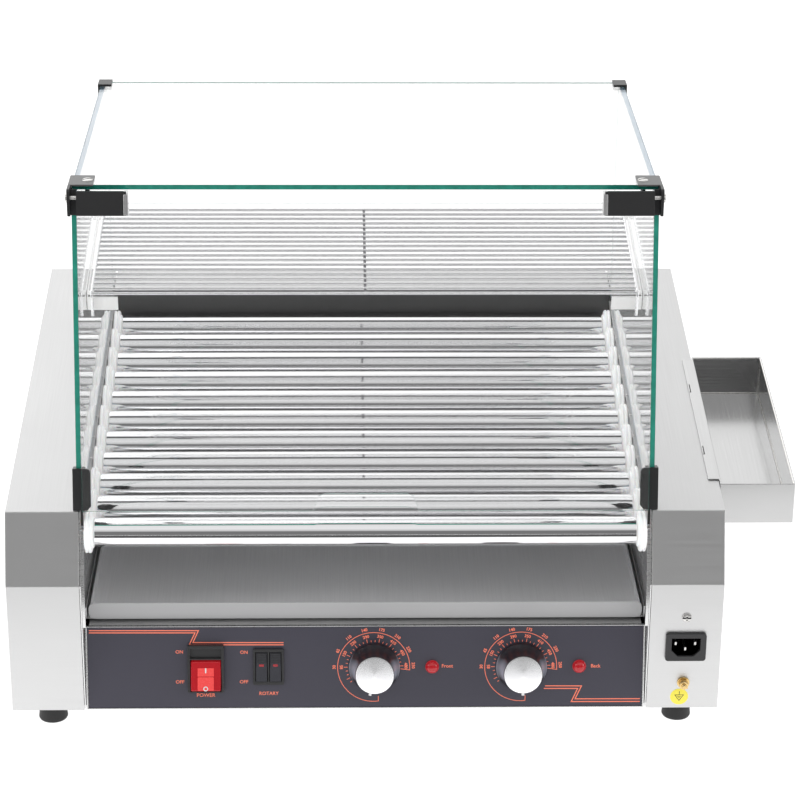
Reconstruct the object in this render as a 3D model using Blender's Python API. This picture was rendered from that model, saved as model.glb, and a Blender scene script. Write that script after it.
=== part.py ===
"""Counter-top hot dog roller grill: eleven chain-driven rollers between two sheet-steel side housings,
a sloping control fascia, a slide-out drip tray, a clip-on side tray and a lift-off glass hood with a
hinged clear door and a wire bun shelf.

Lengths below are millimetres in the machine's own axes: x to the right from the middle of the rollers,
y back from the lower front face, z up from the table. The finished frame is metres, with the origin
under the middle of the whole object's box."""

import math

import bmesh
import bpy
from mathutils import Matrix, Vector

# Frame origin in machine axes
ORIGIN_X = 31.15
ORIGIN_Y = 203.2

# Side housings: profile of the outside in y and z
BODY_HALF_WIDTH = 290.0
HOUSING_INNER_X = 231.0
BODY_BOTTOM_Z = 22.0
CREASE_Z = 136.0
TOP_FRONT_Y = 21.5
TOP_FRONT_Z = 192.5
BODY_DEPTH = 425.0
TOP_SLOPE = math.tan(math.radians(8.1))
SHEET = 1.0
GAP = 0.3
WALL_X = (229.7, 230.7)

# Rollers
ROLLER_COUNT = 11
ROLLER_PITCH = 33.0
ROLLER_FRONT_Y = 27.5
ROLLER_FRONT_Z = 171.2
ROLLER_RADIUS = 12.0
ROLLER_HALF_LENGTH = 219.3
JOURNAL_RADIUS = 7.0
JOURNAL_END_X = 236.0
BUSH_RADIUS = 17.0
BUSH_X = (219.6, 226.6)
BUSH_BORE = 7.5
WALL_BORE = 7.8
ROW_ANGLE = math.radians(8.1)

# Chain drive in the left housing
SPROCKET_RADIUS = 9.3
SPROCKET_X = (-249.0, -245.0)
CHAIN_RADII = (9.6, 11.5)
MOTOR_Y = 190.0
MOTOR_Z = 75.0

# Control panel: base line of the fascia, lean and size
PANEL_Y = 1.0
PANEL_Z = 23.5
PANEL_LEAN = math.radians(10.5)
FASCIA_HALF_WIDTH = 227.5
FASCIA_HEIGHT = 69.0
FASCIA_THICKNESS = 1.2
CONTROL_V = 34.6
DIAL_U = (7.0, 127.8)
LAMP_U = (54.4, 175.3)
POWER_U = -131.0
POWER_V = 34.4
ROTARY_U = -79.8
ROTARY_V = 35.4
KNOB_HEIGHT = 23.5

# Hood
GLASS_X = (228.5, 232.5)
HOOD_BASE_Y = 23.5
HOOD_TOP_Y = 86.2
HOOD_REAR_Y = 379.0
HOOD_TOP_Z = 440.1
TOP_GLASS_FRONT_Y = 93.5
TOP_GLASS_Z = (440.4, 444.4)
DOOR_HALF_WIDTH = 227.6
DOOR_OFFSET = (3.5, 6.5)
DOOR_PIVOT_Y = 80.5
DOOR_PIVOT_Z = 438.0

# Bun shelf
SHELF_FRONT_Y = 129.0
SHELF_FRONT_Z = 337.0
SHELF_DEPTH = 141.0
SHELF_SLOPE = math.radians(10.3)
SHELF_HALF_WIDTH = 225.3
SHELF_WIRES = 19
WIRE = 2.6

# Trays
TRAY_HALF_WIDTH = 226.4
TRAY_Y = (20.6, 364.0)
TRAY_Z = (95.6, 110.0)
SIDE_TRAY_X = (290.4, 352.3)
SIDE_TRAY_Y = (57.0, 260.0)
SIDE_TRAY_DEPTH = 35.3

MATERIALS = {
    "steel": ((0.72, 0.73, 0.74), 1.0, 0.35),
    "chrome": ((0.85, 0.85, 0.86), 1.0, 0.08),
    "zinc": ((0.62, 0.62, 0.60), 1.0, 0.4),
    "dark_steel": ((0.25, 0.25, 0.26), 1.0, 0.4),
    "fascia": ((0.075, 0.070, 0.090), 0.0, 0.45),
    "black_plastic": ((0.035, 0.035, 0.037), 0.0, 0.45),
    "ptfe": ((0.86, 0.86, 0.85), 0.0, 0.5),
    "glass": ((0.80, 0.93, 0.90), 0.0, 0.03),
    "red_lens": ((0.75, 0.06, 0.05), 0.0, 0.2),
    "rubber": ((0.02, 0.02, 0.02), 0.0, 0.8),
    "brass": ((0.72, 0.52, 0.22), 1.0, 0.3),
    "silver_cap": ((0.80, 0.80, 0.82), 1.0, 0.25),
}


def clear_scene():
    for obj in list(bpy.data.objects):
        bpy.data.objects.remove(obj, do_unlink=True)


def world(x, y, z):
    return Vector(((x - ORIGIN_X) / 1000, (y - ORIGIN_Y) / 1000, z / 1000))


def material(node_name, kind):
    color, metallic, roughness = MATERIALS[kind]
    made = bpy.data.materials.new(node_name)
    made.use_nodes = True
    shader = made.node_tree.nodes["Principled BSDF"]
    shader.inputs["Base Color"].default_value = (*color, 1.0)
    shader.inputs["Metallic"].default_value = metallic
    shader.inputs["Roughness"].default_value = roughness
    if kind == "glass":
        shader.inputs["Alpha"].default_value = 0.3
    made.diffuse_color = (*color, 0.3 if kind == "glass" else 1.0)
    return made


def mesh_object(name, verts, faces, kind):
    """verts are machine millimetres."""
    mesh = bpy.data.meshes.new(name)
    mesh.from_pydata([world(*v) for v in verts], [], faces)
    work = bmesh.new()
    work.from_mesh(mesh)
    bmesh.ops.recalc_face_normals(work, faces=work.faces)
    work.to_mesh(mesh)
    work.free()
    obj = bpy.data.objects.new(name, mesh)
    bpy.context.scene.collection.objects.link(obj)
    if kind:
        mesh.materials.append(material(name, kind))
    return obj


def along_x(a, b, t):
    return (t, a, b)


def along_y(a, b, t):
    return (a, t, b)


def along_z(a, b, t):
    return (a, b, t)


def on_panel(u, v, w):
    """u to the right, v up the leaning fascia, w out of it."""
    s, c = math.sin(PANEL_LEAN), math.cos(PANEL_LEAN)
    return (u, PANEL_Y + v * s - w * c, PANEL_Z + v * c + w * s)


def on_door(x, s, n):
    """s up the leaning front edge of the side glass, n out in front of it."""
    run = math.hypot(HOOD_TOP_Y - HOOD_BASE_Y, HOOD_TOP_Z - TOP_FRONT_Z)
    ty, tz = (HOOD_TOP_Y - HOOD_BASE_Y) / run, (HOOD_TOP_Z - TOP_FRONT_Z) / run
    return (x, HOOD_BASE_Y + s * ty - n * tz, TOP_FRONT_Z + s * tz + n * ty)


def on_shelf(x, d, h):
    """d back along the sloping shelf, h above it."""
    s, c = math.sin(SHELF_SLOPE), math.cos(SHELF_SLOPE)
    return (x, SHELF_FRONT_Y + d * c - h * s, SHELF_FRONT_Z + d * s + h * c)


def extrude(name, outline, lo, hi, place, kind=None):
    count = len(outline)
    verts = [place(a, b, lo) for a, b in outline] + [place(a, b, hi) for a, b in outline]
    faces = [list(range(count)), list(range(count, 2 * count))]
    faces += [[i, (i + 1) % count, (i + 1) % count + count, i + count] for i in range(count)]
    return mesh_object(name, verts, faces, kind)


def rectangle(a0, a1, b0, b1):
    return [(a0, b0), (a1, b0), (a1, b1), (a0, b1)]


def rounded(a0, a1, b0, b1, radius, steps=3):
    corners = ((a1 - radius, b0 + radius, -90), (a1 - radius, b1 - radius, 0))
    corners += ((a0 + radius, b1 - radius, 90), (a0 + radius, b0 + radius, 180))
    points = []
    for ca, cb, start in corners:
        for i in range(steps + 1):
            angle = math.radians(start + 90 * i / steps)
            points.append((ca + radius * math.cos(angle), cb + radius * math.sin(angle)))
    return points


def circle(ca, cb, radius, count, turn=0.5):
    angles = [2 * math.pi * (i + turn) / count for i in range(count)]
    return [(ca + radius * math.cos(t), cb + radius * math.sin(t)) for t in angles]


def box(name, x, y, z, kind=None):
    return extrude(name, rectangle(*x, *y), *z, along_z, kind)


def revolve(name, profile, centre, place, count, kind=None):
    """profile is (radius, height) pairs from one end of the axis to the other, both ends on it."""
    inner = profile[1:-1]
    verts = [place(*centre, profile[0][1]), place(*centre, profile[-1][1])]
    for radius, height in inner:
        verts += [place(a, b, height) for a, b in circle(*centre, radius, count)]
    rings = [[2 + k * count + i for i in range(count)] for k in range(len(inner))]
    faces = [[0, rings[0][i], rings[0][(i + 1) % count]] for i in range(count)]
    faces += [[1, rings[-1][i], rings[-1][(i + 1) % count]] for i in range(count)]
    for low, high in zip(rings, rings[1:]):
        faces += [[low[i], low[(i + 1) % count], high[(i + 1) % count], high[i]] for i in range(count)]
    return mesh_object(name, verts, faces, kind)


def join_cutters(cutters):
    """Disjoint cutters as one mesh."""
    whole = bmesh.new()
    for cutter in cutters:
        whole.from_mesh(cutter.data)
    first = cutters[0]
    whole.to_mesh(first.data)
    whole.free()
    for cutter in cutters[1:]:
        bpy.data.objects.remove(cutter, do_unlink=True)
    return first


def combine(target, others, operation):
    """Applies one exact Boolean for each of the other solids, then drops them."""
    for other in others:
        modifier = target.modifiers.new("combine", "BOOLEAN")
        modifier.operation = operation
        modifier.solver = "EXACT"
        modifier.object = other
        graph = bpy.context.evaluated_depsgraph_get()
        mesh = bpy.data.meshes.new_from_object(target.evaluated_get(graph))
        target.modifiers.clear()
        old = target.data
        target.data = mesh
        mesh.name = target.name
        bpy.data.meshes.remove(old)
        bpy.data.objects.remove(other, do_unlink=True)
    return target


def cut(target, *others):
    return combine(target, others, "DIFFERENCE")


def add(target, *others):
    return combine(target, others, "UNION")


def pivot_at(obj, point):
    """Puts the object's origin on its joint axis."""
    place = world(*point)
    obj.data.transform(Matrix.Translation(-place))
    obj.location = place


def smooth(obj, degrees=32):
    mesh = obj.data
    mesh.shade_smooth()
    mesh.set_sharp_from_angle(angle=math.radians(degrees))


def top_z(y):
    return TOP_FRONT_Z + (y - TOP_FRONT_Y) * TOP_SLOPE


def side_profile(inset, bottom):
    """The housing's outline in y and z, moved in by the sheet thickness."""
    lean = TOP_FRONT_Y / (TOP_FRONT_Z - CREASE_Z)
    front_shift = inset * math.hypot(1, lean)
    top_shift = inset * math.hypot(1, TOP_SLOPE)
    crease = CREASE_Z - (front_shift - inset) / lean
    z_top = (TOP_FRONT_Z - top_shift + (front_shift - CREASE_Z * lean - TOP_FRONT_Y) * TOP_SLOPE)
    z_top /= 1 - lean * TOP_SLOPE
    y_top = front_shift + (z_top - CREASE_Z) * lean
    rear = BODY_DEPTH - inset
    return [(inset, bottom), (inset, crease), (y_top, z_top), (rear, top_z(rear) - top_shift), (rear, bottom)]


def roller_centre(i):
    run = ROLLER_PITCH * i
    return (ROLLER_FRONT_Y + run * math.cos(ROW_ANGLE), ROLLER_FRONT_Z + run * math.sin(ROW_ANGLE))


def roller_bores(radius, x0, x1):
    cutters = []
    for i in range(ROLLER_COUNT):
        cutters.append(extrude("bore", circle(*roller_centre(i), radius, 16), x0, x1, along_x))
    return join_cutters(cutters)


def side_housing(side):
    name = "left_side_housing" if side < 0 else "right_side_housing"
    low, high = sorted((side * HOUSING_INNER_X, side * BODY_HALF_WIDTH))
    shell = extrude(name, side_profile(0, BODY_BOTTOM_Z), low, high, along_x, "steel")
    low, high = sorted((side * (HOUSING_INNER_X - 5), side * (BODY_HALF_WIDTH - SHEET)))
    cavity = extrude("cavity", side_profile(SHEET, BODY_BOTTOM_Z - 5), low, high, along_x)
    cut(shell, cavity)
    if side > 0:
        cut(shell, extrude("slot", rectangle(246.9, 275.1, 69.1, 90.3), -3, 3, along_y))
        cut(shell, extrude("hole", circle(260.7, 46.0, 2.4, 12), -3, 3, along_y))
    return shell


def inner_wall(side):
    name = "left_inner_wall" if side < 0 else "right_inner_wall"
    low, high = sorted((side * WALL_X[0], side * WALL_X[1]))
    plate = extrude(name, side_profile(GAP, BODY_BOTTOM_Z + 1.6), low, high, along_x, "steel")
    cut(plate, roller_bores(WALL_BORE, low - 2, high + 2))
    return plate


def base_pan():
    outer = BODY_HALF_WIDTH - SHEET - GAP
    floor, rim = BODY_BOTTOM_Z + 1.2, BODY_BOTTOM_Z + 12
    inner = outer - 1.2
    section = [(-outer, rim), (-outer, BODY_BOTTOM_Z), (outer, BODY_BOTTOM_Z), (outer, rim)]
    section += [(inner, rim), (inner, floor), (-inner, floor), (-inner, rim)]
    return extrude("base_pan", section, 8.0, BODY_DEPTH - SHEET - GAP, along_y, "dark_steel")


def rear_panel():
    front_y, back_y = 372.5, BODY_DEPTH - GAP
    top0, top1 = 248.2, 249.8
    outer = [(front_y, 112.0), (front_y, top0), (back_y, top1), (back_y, BODY_BOTTOM_Z + 1.6)]
    inner = [(back_y - SHEET, BODY_BOTTOM_Z + 1.6), (back_y - SHEET, top1 - SHEET)]
    inner += [(front_y + SHEET, top0 - SHEET), (front_y + SHEET, 112.0)]
    return extrude("rear_panel", outer + inner, -227.9, 227.9, along_x, "steel")


def front_panel():
    panel = extrude("front_panel", rectangle(-229.2, 229.2, -1.0, 70.0), -3.0, 0.4, on_panel, "steel")
    pocket = rectangle(-FASCIA_HALF_WIDTH - GAP, FASCIA_HALF_WIDTH + GAP, -GAP, FASCIA_HEIGHT + GAP)
    cut(panel, extrude("pocket", pocket, -FASCIA_THICKNESS - GAP, 4, on_panel))
    cut(panel, panel_openings())
    return panel


def panel_openings():
    cutters = []
    for u in DIAL_U:
        cutters.append(extrude("hole", circle(u, CONTROL_V, 3.8, 12), -9, 9, on_panel))
    for u in LAMP_U:
        cutters.append(extrude("hole", circle(u, CONTROL_V, 4.7, 12), -9, 9, on_panel))
    power = rectangle(POWER_U - 13.6, POWER_U + 13.6, POWER_V - 18.1, POWER_V + 18.1)
    rotary = rectangle(ROTARY_U - 11.6, ROTARY_U + 11.6, ROTARY_V - 13.6, ROTARY_V + 13.6)
    cutters.append(extrude("slot", power, -9, 9, on_panel))
    cutters.append(extrude("slot", rotary, -9, 9, on_panel))
    return join_cutters(cutters)


def control_fascia():
    face = rectangle(-FASCIA_HALF_WIDTH, FASCIA_HALF_WIDTH, 0, FASCIA_HEIGHT)
    plate = extrude("control_fascia", face, -FASCIA_THICKNESS, 0, on_panel, "fascia")
    cut(plate, panel_openings())
    return plate


def foot(name, x, y):
    profile = [(0, 0), (11.2, 0), (12.0, 0.8), (10.6, 19.5), (7.0, 21.7), (0, 21.7)]
    smooth(revolve(name, profile, (x, y), along_z, 20, "rubber"))


def power_inlet():
    body = extrude("power_inlet", rounded(244.4, 277.6, 67.2, 92.2, 2.5), -2.8, -0.3, along_y, "black_plastic")
    add(body, extrude("rear", rectangle(247.3, 274.7, 69.5, 89.9), -1.0, 24.0, along_y))
    socket = [(249.2, 88.0), (249.2, 77.1), (254.5, 71.6), (267.5, 71.6), (272.8, 77.1), (272.8, 88.0)]
    cut(body, extrude("socket", socket, -6.0, 16.0, along_y))
    pins = [(253.0, 82.6), (261.0, 77.6), (269.0, 82.6)]
    for x, z in pins:
        add(body, extrude("pin", rectangle(x - 1.0, x + 1.0, z - 2.2, z + 2.2), 1.0, 18.0, along_y))
    return body


def earth_stud():
    profile = [(0, -9.0), (1.9, -9.0), (2.1, -4.2), (3.9, -4.2), (3.9, -1.4), (5.2, -1.4), (5.2, -0.3)]
    profile += [(2.1, -0.3), (2.1, 9.0), (0, 9.0)]
    revolve("earth_stud", profile, (260.7, 46.0), along_y, 12, "brass")


def gear_motor():
    block = box("gear_motor", (-286.0, -254.5), (165.0, 215.0), (50.0, 105.0), "dark_steel")
    add(block, extrude("can", circle(-270.2, 77.0, 15.0, 20), 214.0, 268.0, along_y))
    cut(block, extrude("bore", circle(MOTOR_Y, MOTOR_Z, 4.4, 16), -266.0, -250.0, along_x))
    return block


def motor_sprocket():
    profile = [(0, -264.0), (4.0, -264.0), (4.0, -249.0), (SPROCKET_RADIUS, -249.0)]
    profile += [(SPROCKET_RADIUS, -245.0), (6.0, -245.0), (6.0, -241.0), (0, -241.0)]
    wheel = revolve("motor_sprocket", profile, (MOTOR_Y, MOTOR_Z), along_x, 20, "dark_steel")
    pivot_at(wheel, (-247.0, MOTOR_Y, MOTOR_Z))


def hull(points):
    """Convex hull, counter-clockwise."""
    points = sorted(set(points))

    def half(sequence):
        chain = []
        for p in sequence:
            while len(chain) > 1 and turn(chain[-2], chain[-1], p) <= 1e-9:
                chain.pop()
            chain.append(p)
        return chain[:-1]

    return half(points) + half(points[::-1])


def turn(o, a, b):
    return (a[0] - o[0]) * (b[1] - o[1]) - (a[1] - o[1]) * (b[0] - o[0])


def drive_chain():
    loops = []
    for radius in CHAIN_RADII:
        points = []
        for centre in (roller_centre(0), roller_centre(ROLLER_COUNT - 1), (MOTOR_Y, MOTOR_Z)):
            points += circle(*centre, radius, 24)
        loops.append(hull(points))
    belt = extrude("drive_chain", loops[1], *SPROCKET_X, along_x, "dark_steel")
    cut(belt, extrude("inside", loops[0], SPROCKET_X[0] - 2, SPROCKET_X[1] + 2, along_x))
    return belt


def bush_row(side):
    name = "left_bush_row" if side < 0 else "right_bush_row"
    meet = math.acos(ROLLER_PITCH / 2 / BUSH_RADIUS)
    steps = 8
    upper, lower = [], []
    for i in range(ROLLER_COUNT):
        start = 0 if i == ROLLER_COUNT - 1 else meet
        end = math.pi if i == 0 else math.pi - meet
        cy, cz = roller_centre(i)
        for k in range(steps + 1):
            angle = end + (start - end) * k / steps
            over, under = angle + ROW_ANGLE, -angle + ROW_ANGLE
            upper.append((cy + BUSH_RADIUS * math.cos(over), cz + BUSH_RADIUS * math.sin(over)))
            lower.append((cy + BUSH_RADIUS * math.cos(under), cz + BUSH_RADIUS * math.sin(under)))
    outline = []
    for point in upper + lower[::-1]:
        if all(math.dist(point, other) > 1e-3 for other in outline[-1:] + outline[:1]):
            outline.append(point)
    low, high = sorted((side * BUSH_X[0], side * BUSH_X[1]))
    row = extrude(name, outline, low, high, along_x, "ptfe")
    cut(row, roller_bores(BUSH_BORE, low - 2, high + 2))
    return row


def roller(i):
    end, journal, body = SPROCKET_X[0], JOURNAL_RADIUS, ROLLER_HALF_LENGTH
    profile = [(0, end), (SPROCKET_RADIUS, end), (SPROCKET_RADIUS, SPROCKET_X[1]), (journal, SPROCKET_X[1])]
    profile += [(journal, -body), (ROLLER_RADIUS, -body), (ROLLER_RADIUS, body), (journal, body)]
    profile += [(journal, JOURNAL_END_X), (0, JOURNAL_END_X)]
    tube = revolve(f"roller_{i + 1:02d}", profile, roller_centre(i), along_x, 20, "chrome")
    pivot_at(tube, (0, *roller_centre(i)))
    smooth(tube)


def thermostat(name, u):
    outline = rectangle(u - 18, u + 18, CONTROL_V - 16, CONTROL_V + 16)
    body = extrude(name, outline, -25.0, -3.3, on_panel, "black_plastic")
    add(body, extrude("shaft", circle(u, CONTROL_V, 3.0, 12), -6.0, 16.0, on_panel))


def knob(name, u):
    profile = [(0, 1.0), (20.3, 1.0), (20.9, 2.2), (19.9, 5.0), (17.2, 10.0), (16.2, 15.0)]
    profile += [(15.9, 21.5), (15.2, KNOB_HEIGHT), (0, KNOB_HEIGHT)]
    dial = revolve(name, profile, (u, CONTROL_V), on_panel, 24, "black_plastic")
    cut(dial, extrude("bore", circle(u, CONTROL_V, 3.4, 12), -3.0, 18.0, on_panel))
    pivot_at(dial, on_panel(u, CONTROL_V, 10.0))
    smooth(dial)


def lamp(name, u):
    profile = [(0, -16.0), (4.2, -16.0), (4.2, 0.3), (5.6, 0.3), (5.6, 1.6), (5.0, 3.4), (3.2, 4.8), (0, 5.2)]
    smooth(revolve(name, profile, (u, CONTROL_V), on_panel, 16, "red_lens"))


def power_switch():
    u, v = POWER_U, POWER_V
    bezel = rounded(u - 14.9, u + 14.9, v - 20.2, v + 20.2, 1.2, 2)
    body = extrude("power_switch_body", bezel, 0.4, 4.6, on_panel, "black_plastic")
    add(body, extrude("rear", rectangle(u - 13.2, u + 13.2, v - 17.8, v + 17.8), -28.0, 2.0, on_panel))
    cut(body, extrude("pocket", rectangle(u - 12.7, u + 12.7, v - 19.2, v + 8.0), -12.0, 9.0, on_panel))
    cut(body, extrude("recess", rectangle(u - 12.7, u + 12.7, v + 9.2, v + 17.4), 2.4, 9.0, on_panel))
    key_v = v - 5.5
    profile = [(key_v - 11.6, -5.0), (key_v + 11.6, -5.0), (key_v + 12.0, 4.2), (key_v, 6.2), (key_v - 12.0, 8.8)]
    key = extrude("power_rocker", profile, u - 12.2, u + 12.2, lambda a, b, t: on_panel(t, a, b), "red_lens")
    pivot_at(key, on_panel(u, key_v, -1.0))


def rotary_switches():
    u, v = ROTARY_U, ROTARY_V
    bezel = rounded(u - 12.6, u + 12.6, v - 15.3, v + 15.3, 0.8, 2)
    body = extrude("rotary_switch_body", bezel, 0.4, 2.2, on_panel, "black_plastic")
    add(body, extrude("rear", rectangle(u - 11.3, u + 11.3, v - 13.3, v + 13.3), -20.0, 1.0, on_panel))
    for side in (-1, 1):
        middle = u + side * 5.7
        cut(body, extrude("pocket", rectangle(middle - 5.0, middle + 5.0, v - 12.6, v + 12.6), -9, 6, on_panel))
    for name, side in (("rotary_rocker_left", -1), ("rotary_rocker_right", 1)):
        middle = u + side * 5.7
        profile = [(v - 11.4, -3.5), (v + 11.4, -3.5), (v + 11.8, 1.0), (v + 1.0, 1.6), (v - 11.8, 4.4)]
        key = extrude(name, profile, middle - 4.6, middle + 4.6, lambda a, b, t: on_panel(t, a, b), "black_plastic")
        pivot_at(key, on_panel(middle, v, -1.0))


def drip_tray():
    low, high = TRAY_Z
    wall = 1.0
    half = TRAY_HALF_WIDTH
    lip = extrude("drip_tray", rounded(-half, half, low, high, 5.0), TRAY_Y[0], TRAY_Y[0] + 1.2, along_y, "steel")
    pan = box("pan", (-half + 1, half - 1), (TRAY_Y[0] + 0.6, TRAY_Y[1]), (low, high - 4))
    cavity = box("cavity", (-half + 1 + wall, half - 1 - wall), (TRAY_Y[0] + 1.2, TRAY_Y[1] - wall), (low + wall, high))
    add(lip, cut(pan, cavity))
    pivot_at(lip, (0, TRAY_Y[0], low))


def tray_rail(side):
    name = "left_tray_rail" if side < 0 else "right_tray_rail"
    outline = [(218.0, 94.0), (229.4, 94.0), (229.4, 104.0), (228.2, 104.0), (228.2, 95.2), (218.0, 95.2)]
    extrude(name, [(side * x, z) for x, z in outline], 24.0, 366.0, along_y, "steel")


def side_tray():
    y0, y1 = SIDE_TRAY_Y
    rim = 1.3
    outer = [(y0, top_z(y0) + rim - SIDE_TRAY_DEPTH), (y0, top_z(y0) + rim)]
    outer += [(y1, top_z(y1) + rim), (y1, top_z(y1) + rim - SIDE_TRAY_DEPTH)]
    tray = extrude("side_tray", outer, *SIDE_TRAY_X, along_x, "steel")
    a, b = y0 + 1, y1 - 1
    inner = [(a, top_z(a) + rim + 1 - SIDE_TRAY_DEPTH), (a, top_z(a) + rim + 5)]
    inner += [(b, top_z(b) + rim + 5), (b, top_z(b) + rim + 1 - SIDE_TRAY_DEPTH)]
    cut(tray, extrude("cavity", inner, SIDE_TRAY_X[0] + 1, SIDE_TRAY_X[1] - 1, along_x))
    f0, f1 = 65.0, 256.0
    hook = [(f0, top_z(f0) + GAP), (f0, top_z(f0) + rim), (f1, top_z(f1) + rim), (f1, top_z(f1) + GAP)]
    add(tray, extrude("hook", hook, 281.5, SIDE_TRAY_X[0] + 0.6, along_x))
    pivot_at(tray, (SIDE_TRAY_X[0], y0, top_z(y0)))


def side_glass(side):
    name = "left_hood_glass" if side < 0 else "right_hood_glass"
    outline = [(HOOD_BASE_Y + 0.1, top_z(HOOD_BASE_Y) + GAP), (HOOD_TOP_Y, HOOD_TOP_Z)]
    outline += [(HOOD_REAR_Y, HOOD_TOP_Z), (HOOD_REAR_Y, top_z(HOOD_REAR_Y) + GAP)]
    low, high = sorted((side * GLASS_X[0], side * GLASS_X[1]))
    extrude(name, outline, low, high, along_x, "glass")


def mirrored(points, side):
    return [(side * x, other) for x, other in points]


def corner_bracket(side):
    """Bracket on the hood's upper front corner: a top arm, a side plate that carries the door's pin,
    and a lip over the end of the side glass's front edge."""
    name = "left_corner_bracket" if side < 0 else "right_corner_bracket"
    arm = rectangle(*sorted((side * 215.5, side * 235.3)), 444.7, 447.2)
    bracket = extrude(name, arm, 88.8, 112.7, along_y, "black_plastic")
    plate = [(76.0, 423.8), (76.0, 445.4), (77.8, 447.2), (112.7, 447.2), (112.7, 424.6)]
    add(bracket, extrude("plate", plate, *sorted((side * 232.8, side * 235.3)), along_x))
    lip = rectangle(*sorted((side * 228.2, side * 235.3)), 238.0, 259.0)
    add(bracket, extrude("lip", lip, 0.3, 2.3, on_door))
    pin = circle(DOOR_PIVOT_Y, DOOR_PIVOT_Z, 1.5, 12)
    add(bracket, extrude("pin", pin, *sorted((side * 221.0, side * 234.0)), along_x))


def rear_clip(side):
    name = "left_rear_clip" if side < 0 else "right_rear_clip"
    arm = [(222.5, 444.7), (232.8, 444.7), (232.8, 433.0), (234.6, 433.0), (234.6, 446.9), (222.5, 446.9)]
    extrude(name, mirrored(arm, side), 362.5, 378.5, along_y, "black_plastic")


def lower_bracket(side):
    """Channel on the side glass's lower front edge, a rounded ear behind the door and a tab in the wall."""
    name = "left_lower_bracket" if side < 0 else "right_lower_bracket"
    section = [(235.3, 2.9), (225.7, 2.9), (225.7, -8.0), (228.2, -8.0), (228.2, 0.4), (232.8, 0.4)]
    section += [(232.8, -8.0), (235.3, -8.0)]
    clip = extrude(name, mirrored(section, side), 4.8, 34.7, lambda x, n, s: on_door(x, s, n), "black_plastic")
    foot_plate = rectangle(*sorted((side * 225.7, side * 235.3)), 0.5, 6.0)
    add(clip, extrude("foot_plate", foot_plate, 0.4, 2.9, on_door))
    ear = [(227.0, 0.8), (223.6, 0.8), (220.8, 4.2), (220.8, 31.5), (221.8, 33.8), (224.0, 34.7), (227.0, 34.7)]
    add(clip, extrude("ear", mirrored(ear, side), 0.4, 2.9, on_door))
    tab = [(227.3, -12.0), (229.3, -12.0), (229.3, 6.0), (227.3, 6.0)]
    add(clip, extrude("tab", mirrored(tab, side), 0.5, 2.8, on_door))


def top_glass():
    box("hood_top_glass", (-GLASS_X[1], GLASS_X[1]), (TOP_GLASS_FRONT_Y, HOOD_REAR_Y), TOP_GLASS_Z, "glass")


def door():
    half = DOOR_HALF_WIDTH
    top = 248.0
    outline = [(-half, 0.2), (-42.5, 0.2), (-38.0, 12.5), (-33.0, 14.5), (33.0, 14.5), (38.0, 12.5), (42.5, 0.2)]
    outline += [(half, 0.2), (half, top), (-half, top)]
    pane = extrude("door_glass", outline, *DOOR_OFFSET, on_door, "glass")
    pivot_at(pane, (0, DOOR_PIVOT_Y, DOOR_PIVOT_Z))
    for name, side in (("left_hinge_clamp", -1), ("right_hinge_clamp", 1)):
        face = rectangle(*sorted((side * 188.5, side * 227.9)), 238.0, 257.2)
        clamp = extrude(name, face, 0.8, 9.2, on_door, "black_plastic")
        slot = rectangle(*sorted((side * 185.0, side * 230.0)), 232.0, 248.5)
        cut(clamp, extrude("slot", slot, DOOR_OFFSET[0] - 0.3, DOOR_OFFSET[1] + 0.3, on_door))
        bore = circle(DOOR_PIVOT_Y, DOOR_PIVOT_Z, 1.9, 12)
        cut(clamp, extrude("bore", bore, *sorted((side * 219.0, side * 231.0)), along_x))
        pivot_at(clamp, (side * 227.9, DOOR_PIVOT_Y, DOOR_PIVOT_Z))


def bun_shelf():
    half, depth = SHELF_HALF_WIDTH, SHELF_DEPTH
    pitch = (depth - WIRE) / (SHELF_WIRES - 1)
    shelf = extrude("bun_shelf", rectangle(-half, half, 0, depth), 0, WIRE, on_shelf, "chrome")
    gaps = []
    for i in range(SHELF_WIRES - 1):
        near = i * pitch + WIRE
        for a, b in ((-half + WIRE, -WIRE / 2), (WIRE / 2, half - WIRE)):
            gaps.append(extrude("gap", rectangle(a, b, near, near + pitch - WIRE), -3, 6, on_shelf))
    cut(shelf, join_cutters(gaps))
    for side in (-1, 1):
        leg = rectangle(*sorted((side * half, side * (half - WIRE))), 0, WIRE)
        add(shelf, extrude("leg", leg, -20.0, 1.0, on_shelf))
    pivot_at(shelf, (0, SHELF_FRONT_Y, SHELF_FRONT_Z))


def shelf_bracket(side):
    """Thin strip on the side glass with a wide front tongue, and two ledges that the shelf rests on."""
    name = "left_shelf_bracket" if side < 0 else "right_shelf_bracket"

    def across(x, h, d):
        return on_shelf(x, d, h)

    strip = rectangle(*sorted((side * 227.2, side * 228.1)), -5.0, -0.6)
    bracket = extrude(name, strip, 3.5, 138.0, across, "zinc")
    ledge = rectangle(*sorted((side * 222.5, side * 228.0)), -1.7, -GAP)
    for near, far in ((3.8, 9.0), (128.0, 137.5)):
        add(bracket, extrude("ledge", ledge, near, far, across))
    tongue = rectangle(*sorted((side * 203.0, side * 228.2)), -15.6, -3.6)
    add(bracket, extrude("tongue", tongue, 3.0, 4.4, across))


def build_body():
    for side in (-1, 1):
        side_housing(side)
        inner_wall(side)
        tray_rail(side)
        bush_row(side)
    base_pan()
    rear_panel()
    front_panel()
    control_fascia()
    for name, x, y in (
        ("foot_front_left", -260, 28),
        ("foot_front_right", 260, 28),
        ("foot_rear_left", -260, 397),
        ("foot_rear_right", 260, 397),
    ):
        foot(name, x, y)
    power_inlet()
    earth_stud()


def build_drive():
    gear_motor()
    motor_sprocket()
    drive_chain()
    for i in range(ROLLER_COUNT):
        roller(i)


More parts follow.
